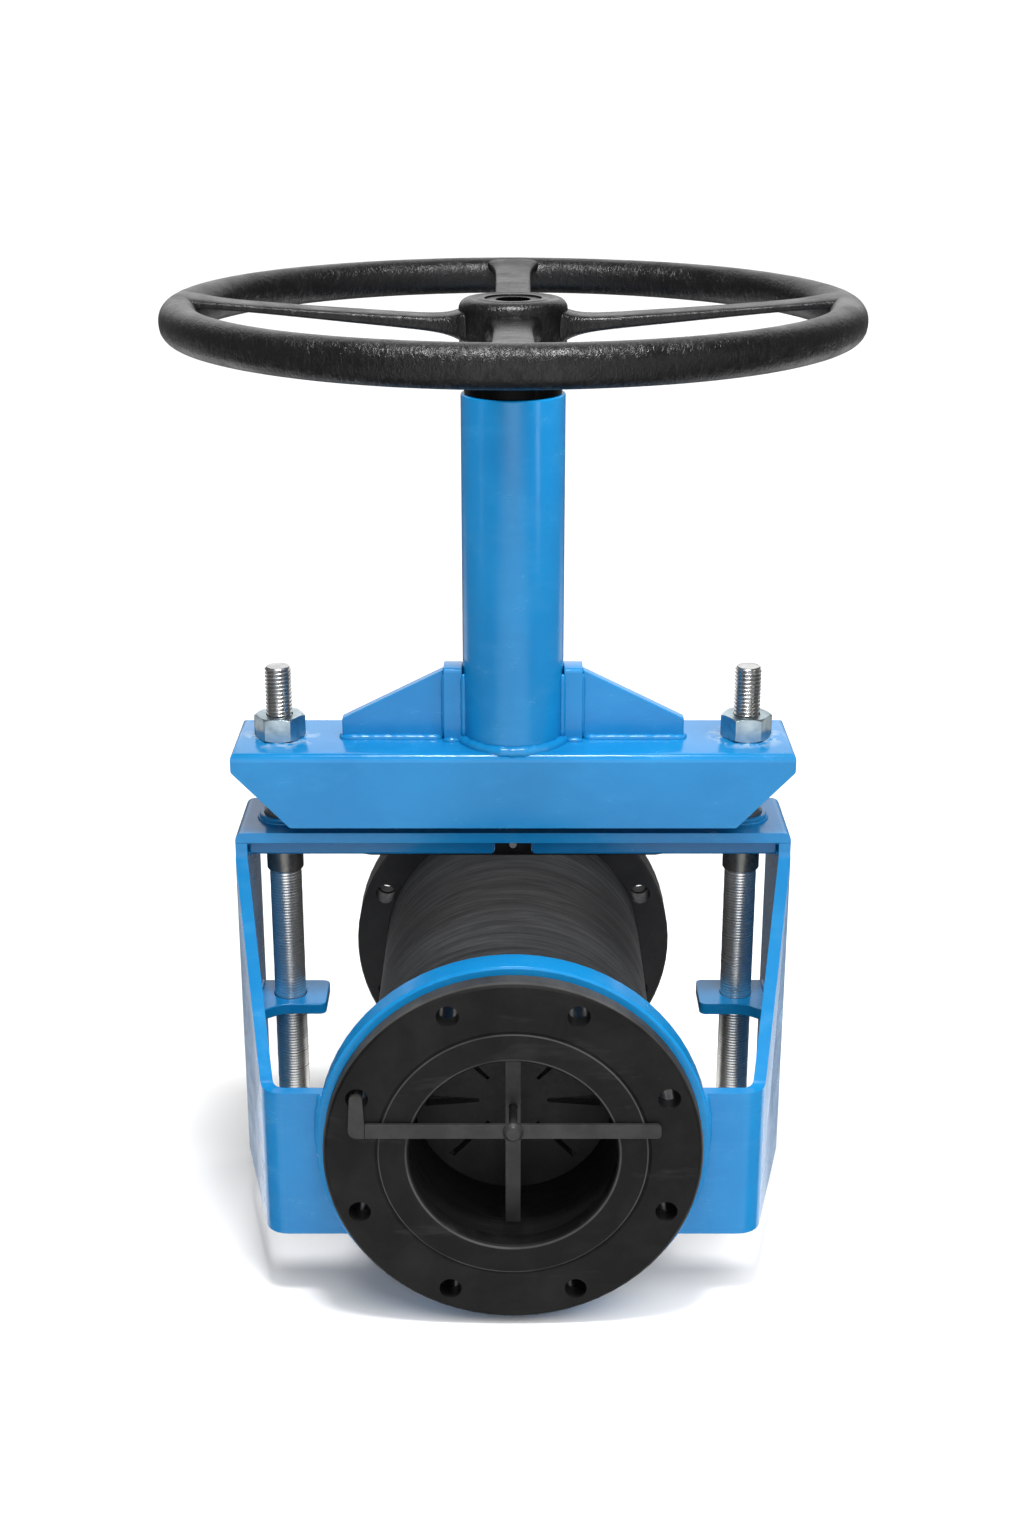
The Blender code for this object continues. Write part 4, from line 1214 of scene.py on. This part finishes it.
@dataclass
class Frame:
    """Bent side plates, top plate, guide rails, lugs, bushes and the front ring."""

    beads: WeldBeads
    inner_x: float = 0.2025
    top_low: float = 0.1747
    top_high: float = 0.1833
    rod_x: float = 0.178
    boss_radius: float = 0.0186
    rail_y: float = 0.0307
    rail_low: float = 0.1640
    lug_faces: Sequence[tuple[str, float]] = (("top", 0.0322), ("under", 0.0228))
    ring_radius: float = 0.1425
    ring_y: float = -0.1632
    plate_low: float = -0.0880
    plate_high: float = 0.0300

    def build(self, fit: Fitter) -> None:
        """Build the frame.

        Args:
            fit: Fitter that dresses the pieces.
        """
        blue, frame = "blue_frame_paint", Body.FRAME
        fit.soften("top_plate", "blue", frame, 0.0018, 3)
        fit.soften("flange_ring_front", "blue_ring", frame, 0.0008, 2)
        fit.soften("backing_ring_rear", "ring_black", frame, 0.0008, 2)
        for word in ("left", "right"):
            fit.soften("side_plate_" + word, "blue", frame, 0.0022, 3)
            fit.soften("rod_lug_" + word, "blue", frame, 0.0012, 3)
            fit.soften("bush_boss_" + word, "blue", frame, 0.0008, 2)
            fit.soften("rod_bush_" + word, "bush", frame, 0.0004, 2)
            for row in ("front", "rear"):
                # painted shade: the rails take the darker copy of the blue enamel
                fit.soften(f"guide_rail_{row}_{word}", "blue_rail", frame, 0.0022, 3)
        self.weld(fit)

    def weld(self, fit: Fitter) -> None:
        """Lay the beads of the frame.

        Args:
            fit: Fitter that dresses the pieces.
        """
        slot, frame = "blue_frame_paint", Body.FRAME
        for word, side in (("left", -1), ("right", 1)):
            x = side * (self.inner_x - 0.0002)
            self.beads.bead(fit, "bead_top_corner_" + word,
                            [(x, -0.034, self.top_low), (x, 0.039, self.top_low)], frame, slot,
                            0.0034)
            for row, y in (("front", -self.rail_y), ("rear", self.rail_y)):
                self.beads.bead(fit, f"bead_rail_{word}_{row}",
                                [(side * 0.016, y, self.top_low), (side * 0.200, y, self.top_low)],
                                frame, slot, 0.0018)
                self.beads.bead(fit, f"bead_rail_end_{word}_{row}",
                                [(x, y * 0.98, self.rail_low), (x, y * 0.66, self.rail_low)],
                                frame, slot, 0.0026)
            for place, z in self.lug_faces:
                self.beads.bead(fit, f"bead_lug_{place}_{word}", [(x, -0.036, z), (x, 0.021, z)],
                                frame, slot, 0.0022)
            t = TAU * np.arange(40) / 40
            boss = np.stack((side * self.rod_x + self.boss_radius * np.cos(t),
                             self.boss_radius * np.sin(t), np.full(40, self.top_high)), 1)
            self.beads.bead(fit, "bead_boss_" + word, boss, frame, slot, 0.0014, True)
            t = np.linspace(math.asin(self.plate_low / self.ring_radius),
                            math.asin(self.plate_high / self.ring_radius), 40)
            arc = np.stack((side * self.ring_radius * np.cos(t), np.full(40, self.ring_y),
                            self.ring_radius * np.sin(t)), 1)
            self.beads.bead(fit, "bead_ring_" + word, arc, frame, "blue_ring_paint", 0.0030)


@dataclass
class Sleeve:
    """Rubber sleeve between the flanges, made as an upper and a lower half."""

    outer: float = 0.110
    inner: float = 0.075
    end_y: float = 0.1857
    upper_stroke: float = 0.115
    lower_stroke: float = 0.075
    closed_half: float = 0.0355
    flat_y: float = 0.010
    reach_y: float = 0.102
    stations: int = 121
    arc: int = 60

    def half(self, name: str, sign: int) -> tuple[bpy.types.Object, np.ndarray]:
        """Make one half of the tube and the share of travel of each of its points.

        The section is a half ring: the outer arc one way and the inner arc back, carried
        along Y.  A point's share is what brings the outer arc down to the closed thickness
        and the inner arc to the middle, times a bell that falls to nothing before the ends.

        Args:
            name: Name of the piece.
            sign: 1 for the upper half, -1 for the lower half.

        Returns:
            The piece, and the shares.
        """
        y = self.end_y * np.sin(np.linspace(-1, 1, self.stations) * math.pi / 2 * 0.62) \
            / math.sin(math.pi / 2 * 0.62)
        t = np.linspace(0.0, math.pi, self.arc)
        radius = np.concatenate((np.full(self.arc, self.outer), np.full(self.arc, self.inner)))
        angle = np.concatenate((t, t[::-1]))
        x, z = radius * np.cos(angle), sign * radius * np.sin(angle)
        count = len(radius)
        points = np.stack((np.broadcast_to(x, (len(y), count)),
                           np.broadcast_to(y[:, None], (len(y), count)),
                           np.broadcast_to(z, (len(y), count))), -1)
        faces = grid_faces(len(y), count, False, True).tolist()
        strip = np.arange(self.arc - 1)
        for base in (0, (len(y) - 1) * count):
            cap = np.stack((base + strip, base + strip + 1, base + count - 2 - strip,
                            base + count - 1 - strip), 1)
            faces += cap.tolist()
        obj = make_piece(name, points, faces, 40)
        co = np.zeros(len(obj.data.vertices) * 3, np.float32)
        obj.data.vertices.foreach_get("co", co)
        co = co.reshape(-1, 3).astype(float)
        return obj, self.share(co, self.upper_stroke if sign > 0 else self.lower_stroke)

    def share(self, co: np.ndarray, stroke: float) -> np.ndarray:
        """Work out each point's share of the jaw's travel.

        Args:
            co: Positions.
            stroke: Travel of the jaw that presses this half.

        Returns:
            Shares from 0 to 1.
        """
        r = np.hypot(co[:, 0], co[:, 2])
        height = np.abs(co[:, 2])
        wall = np.clip((r - self.inner) / (self.outer - self.inner), 0.0, 1.0)
        rest = wall * self.closed_half * 0.985 + 0.0004
        over = height - rest
        soft = 0.5 * (over + np.sqrt(over ** 2 + 0.006 ** 2)) - 0.003 * (height < 1e-6)
        drop = np.minimum(np.maximum(soft, 0.0), height)
        drop = np.where(height < 1e-6, 0.0, drop)
        bell = 1.0 - smooth_step((np.abs(co[:, 1]) - self.flat_y) / (self.reach_y - self.flat_y))
        return np.clip(drop / stroke, 0.0, 1.0) * bell

    def build(self, fit: Fitter) -> None:
        """Build both halves and the rubber flanges.

        Args:
            fit: Fitter that dresses the pieces.
        """
        for name, sign, body in (("sleeve_upper_half", 1, Body.JAW),
                                 ("sleeve_lower_half", -1, Body.YOKE)):
            obj, share = self.half(name, sign)
            obj.data.materials.append(fit.finishes["wrap"])
            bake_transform(obj)
            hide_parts("sleeve_tube")
            LOG.info("piece %s blends to %s", name, body.value)
        for place in ("front", "rear"):
            fit.soften("sleeve_flange_" + place, "rubber", Body.FRAME, 0.0006, 2)


@dataclass
class UpperJaw:
    """Upper pinch bar with its spindle and pin."""

    spindle_radius: float = 0.012
    spindle_low: float = 0.1579
    spindle_top: float = 0.571
    thread_pitch: float = 0.005
    thread_depth: float = 0.0017

    def build(self, fit: Fitter) -> None:
        """Build the upper jaw.

        Args:
            fit: Fitter that dresses the pieces.
        """
        fit.soften("upper_jaw", "jaw", Body.JAW, 0.0010)
        bar = threaded_bar("spindle_thread", self.spindle_radius, self.spindle_low,
                           self.spindle_top, self.thread_pitch, self.thread_depth,
                           (0.0, 0.0, 0.0))
        fit.dress(bar, "machined", Body.JAW, ("spindle",))
        fit.soften("spindle_pin", "machined", Body.JAW, 0.0004, 2)


@dataclass
class TransitBracing:
    """Strap, hook, post, screw and plug that guard the sleeve before it is fitted."""

    edges: dict[str, float] = field(default_factory=lambda: {
        "transit_strap": 0.0006, "transit_hook": 0.0006, "transit_post": 0.0006,
        "transit_screw": 0.0006, "transit_nut": 0.0004})

    def build(self, fit: Fitter) -> None:
        """Build the bracing.

        Args:
            fit: Fitter that dresses the pieces.
        """
        for node, edge in self.edges.items():
            fit.soften(node, "strip", Body.FRAME, edge, 2)
        fit.soften("transit_plug", "plug", Body.FRAME, 0.0008, 2)


# ------------------------------------------------------------------ studio
@dataclass
class Studio:
    """Pale floor, soft lights and the camera."""

    floor_z: float = -0.1425
    floor_half: float = 60.0
    camera_place: Sequence[float] = (-0.0008, -1.49, 0.765)
    pitch: float = 20.0
    lens: float = 48.3
    room: float = 0.15
    lobes: Sequence[tuple[Sequence[float], float, float, float]] = (
        ((0.0, -0.88, -0.47), 0.70, 0.92, 1.05),
        ((0.0, 0.90, 0.44), 0.78, 0.95, 1.20),
        ((0.0, -0.94, 0.34), 0.88, 0.97, 1.30),
        ((0.56, 0.62, -0.55), 0.91, 0.975, 1.35),
        ((-0.56, 0.62, -0.55), 0.91, 0.975, 1.35))
    sun: float = 3.05
    sun_angle: float = 60.0
    sun_aim: Sequence[float] = (-0.36, 0.32, -1.0)
    backdrop: float = 1.05

    def lamp(self, name: str, place: Sequence[float], aim: Sequence[float],
             size: tuple[float, float], power: float) -> None:
        """Place one rectangular soft light.

        Args:
            name: Name of the light.
            place: Where it stands.
            aim: Point that it faces.
            size: Width and height.
            power: Power in watts.
        """
        data = bpy.data.lights.new(name, "AREA")
        data.shape, data.size, data.size_y = "RECTANGLE", size[0], size[1]
        data.energy = power
        obj = bpy.data.objects.new(name, data)
        obj.location = place
        obj.rotation_euler = (Vector(aim) - Vector(place)).to_track_quat("-Z", "Y").to_euler()
        bpy.context.scene.collection.objects.link(obj)

    def floor(self) -> None:
        """Lay the pale floor under the lower jaw."""
        corner = np.array([(-1, -1), (1, -1), (1, 1), (-1, 1)]) * self.floor_half
        points = np.column_stack((corner, np.full(4, self.floor_z)))
        floor = make_piece("floor", points, [[0, 1, 2, 3]])
        g = Graph("pale_floor")
        grain = g.noise(3.0, 2.0, 0.5)
        floor.data.materials.append(
            g.finish(g.mix(g.ramp(grain, 0.3, 0.7), (0.92, 0.92, 0.92), (0.94, 0.94, 0.94)), 0.9))
        floor.visible_glossy = False

    def patch(self, tree: bpy.types.NodeTree, place: bpy.types.NodeSocket,
              lobe: tuple[Sequence[float], float, float, float]) -> bpy.types.NodeSocket:
        """Add one bright patch of the room, round a direction.

        Its strength is a smooth step of the cosine between the ray and that direction.

        Args:
            tree: Nodes of the world.
            place: Direction of the ray.
            lobe: Direction, the cosines where the patch starts and is full, and its strength.

        Returns:
            The strength.
        """
        aim, low, high, gain = lobe
        cosine = tree.nodes.new("ShaderNodeVectorMath")
        cosine.operation = "DOT_PRODUCT"
        cosine.inputs[1].default_value = aim
        tree.links.new(place, cosine.inputs[0])
        step = tree.nodes.new("ShaderNodeMapRange")
        step.interpolation_type = "SMOOTHSTEP"
        for key, number in (("From Min", low), ("From Max", high), ("To Min", 0.0),
                            ("To Max", gain)):
            step.inputs[key].default_value = number
        tree.links.new(cosine.outputs["Value"], step.inputs["Value"])
        return step.outputs["Result"]

    def room_light(self) -> None:
        """Build the room: white to the camera, dim with bright patches to everything else."""
        world = bpy.data.worlds.new("studio")
        bpy.context.scene.world = world
        world.use_nodes = True
        tree = world.node_tree
        room = tree.nodes["Background"]
        room.inputs["Color"].default_value = (1.0, 1.0, 1.0, 1.0)
        place = tree.nodes.new("ShaderNodeTexCoord").outputs["Generated"]
        level: bpy.types.NodeSocket | None = None
        for lobe in self.lobes:
            total = tree.nodes.new("ShaderNodeMath")
            total.inputs[0].default_value = self.room
            if level is not None:
                tree.links.new(level, total.inputs[0])
            tree.links.new(self.patch(tree, place, lobe), total.inputs[1])
            level = total.outputs[0]
        tree.links.new(level, room.inputs["Strength"])
        white = tree.nodes.new("ShaderNodeBackground")
        white.inputs["Color"].default_value = (1.0, 1.0, 1.0, 1.0)
        white.inputs["Strength"].default_value = self.backdrop
        path = tree.nodes.new("ShaderNodeLightPath")
        mix = tree.nodes.new("ShaderNodeMixShader")
        tree.links.new(path.outputs["Is Camera Ray"], mix.inputs[0])
        tree.links.new(room.outputs[0], mix.inputs[1])
        tree.links.new(white.outputs[0], mix.inputs[2])
        tree.links.new(mix.outputs[0], tree.nodes["World Output"].inputs["Surface"])

    def lights(self) -> None:
        """Hang the wide overhead light and the three lamps."""
        sun = bpy.data.lights.new("sky_panel", "SUN")
        sun.energy, sun.angle = self.sun, math.radians(self.sun_angle)
        obj = bpy.data.objects.new("sky_panel", sun)
        obj.rotation_euler = Vector(self.sun_aim).to_track_quat("-Z", "Y").to_euler()
        obj.visible_glossy = False
        bpy.context.scene.collection.objects.link(obj)
        self.lamp("left", (-1.7, -0.5, 0.8), (0.0, 0.0, 0.25), (0.4, 1.6), 0.8)
        self.lamp("right", (1.9, -1.3, 0.9), (0.0, 0.0, 0.25), (0.3, 1.6), 4.0)
        self.lamp("top", (0.0, -0.55, 1.9), (0.0, 0.0, 0.4), (0.34, 0.24), 27.0)

    def camera(self) -> None:
        """Place the camera in front of the valve, a little above it."""
        data = bpy.data.cameras.new("camera")
        data.lens, data.sensor_width, data.sensor_fit = self.lens, 36.0, "AUTO"
        camera = bpy.data.objects.new("camera", data)
        camera.location = self.camera_place
        camera.rotation_euler = (math.radians(90.0 - self.pitch), 0.0, 0.0)
        bpy.context.scene.collection.objects.link(camera)
        bpy.context.scene.camera = camera

    def build(self) -> None:
        """Build the floor, the room, the lights and the camera."""
        self.floor()
        self.room_light()
        bpy.context.scene.view_settings.view_transform = "Standard"
        self.lights()
        self.camera()


def corners(box: tuple) -> list[list[float]]:
    """Return the two corners of a box as plain lists."""
    return [list(map(float, corner)) for corner in box]


def main() -> None:
    """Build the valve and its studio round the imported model."""
    logging.basicConfig(level=logging.INFO, format="%(name)s: %(message)s")
    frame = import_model()
    fit = Fitter(Finishes(), frame)
    beads = WeldBeads()
    parts: list[Callable[[Fitter], None]] = [
        Sleeve().build, Frame(beads).build, Yoke(beads).build, Handwheel().build,
        UpperJaw().build, TransitBracing().build]
    for build in parts:
        build(fit)
    Studio().build()
    LOG.info("%d pieces dressed", fit.count)


if __name__ == "__main__":
    main()
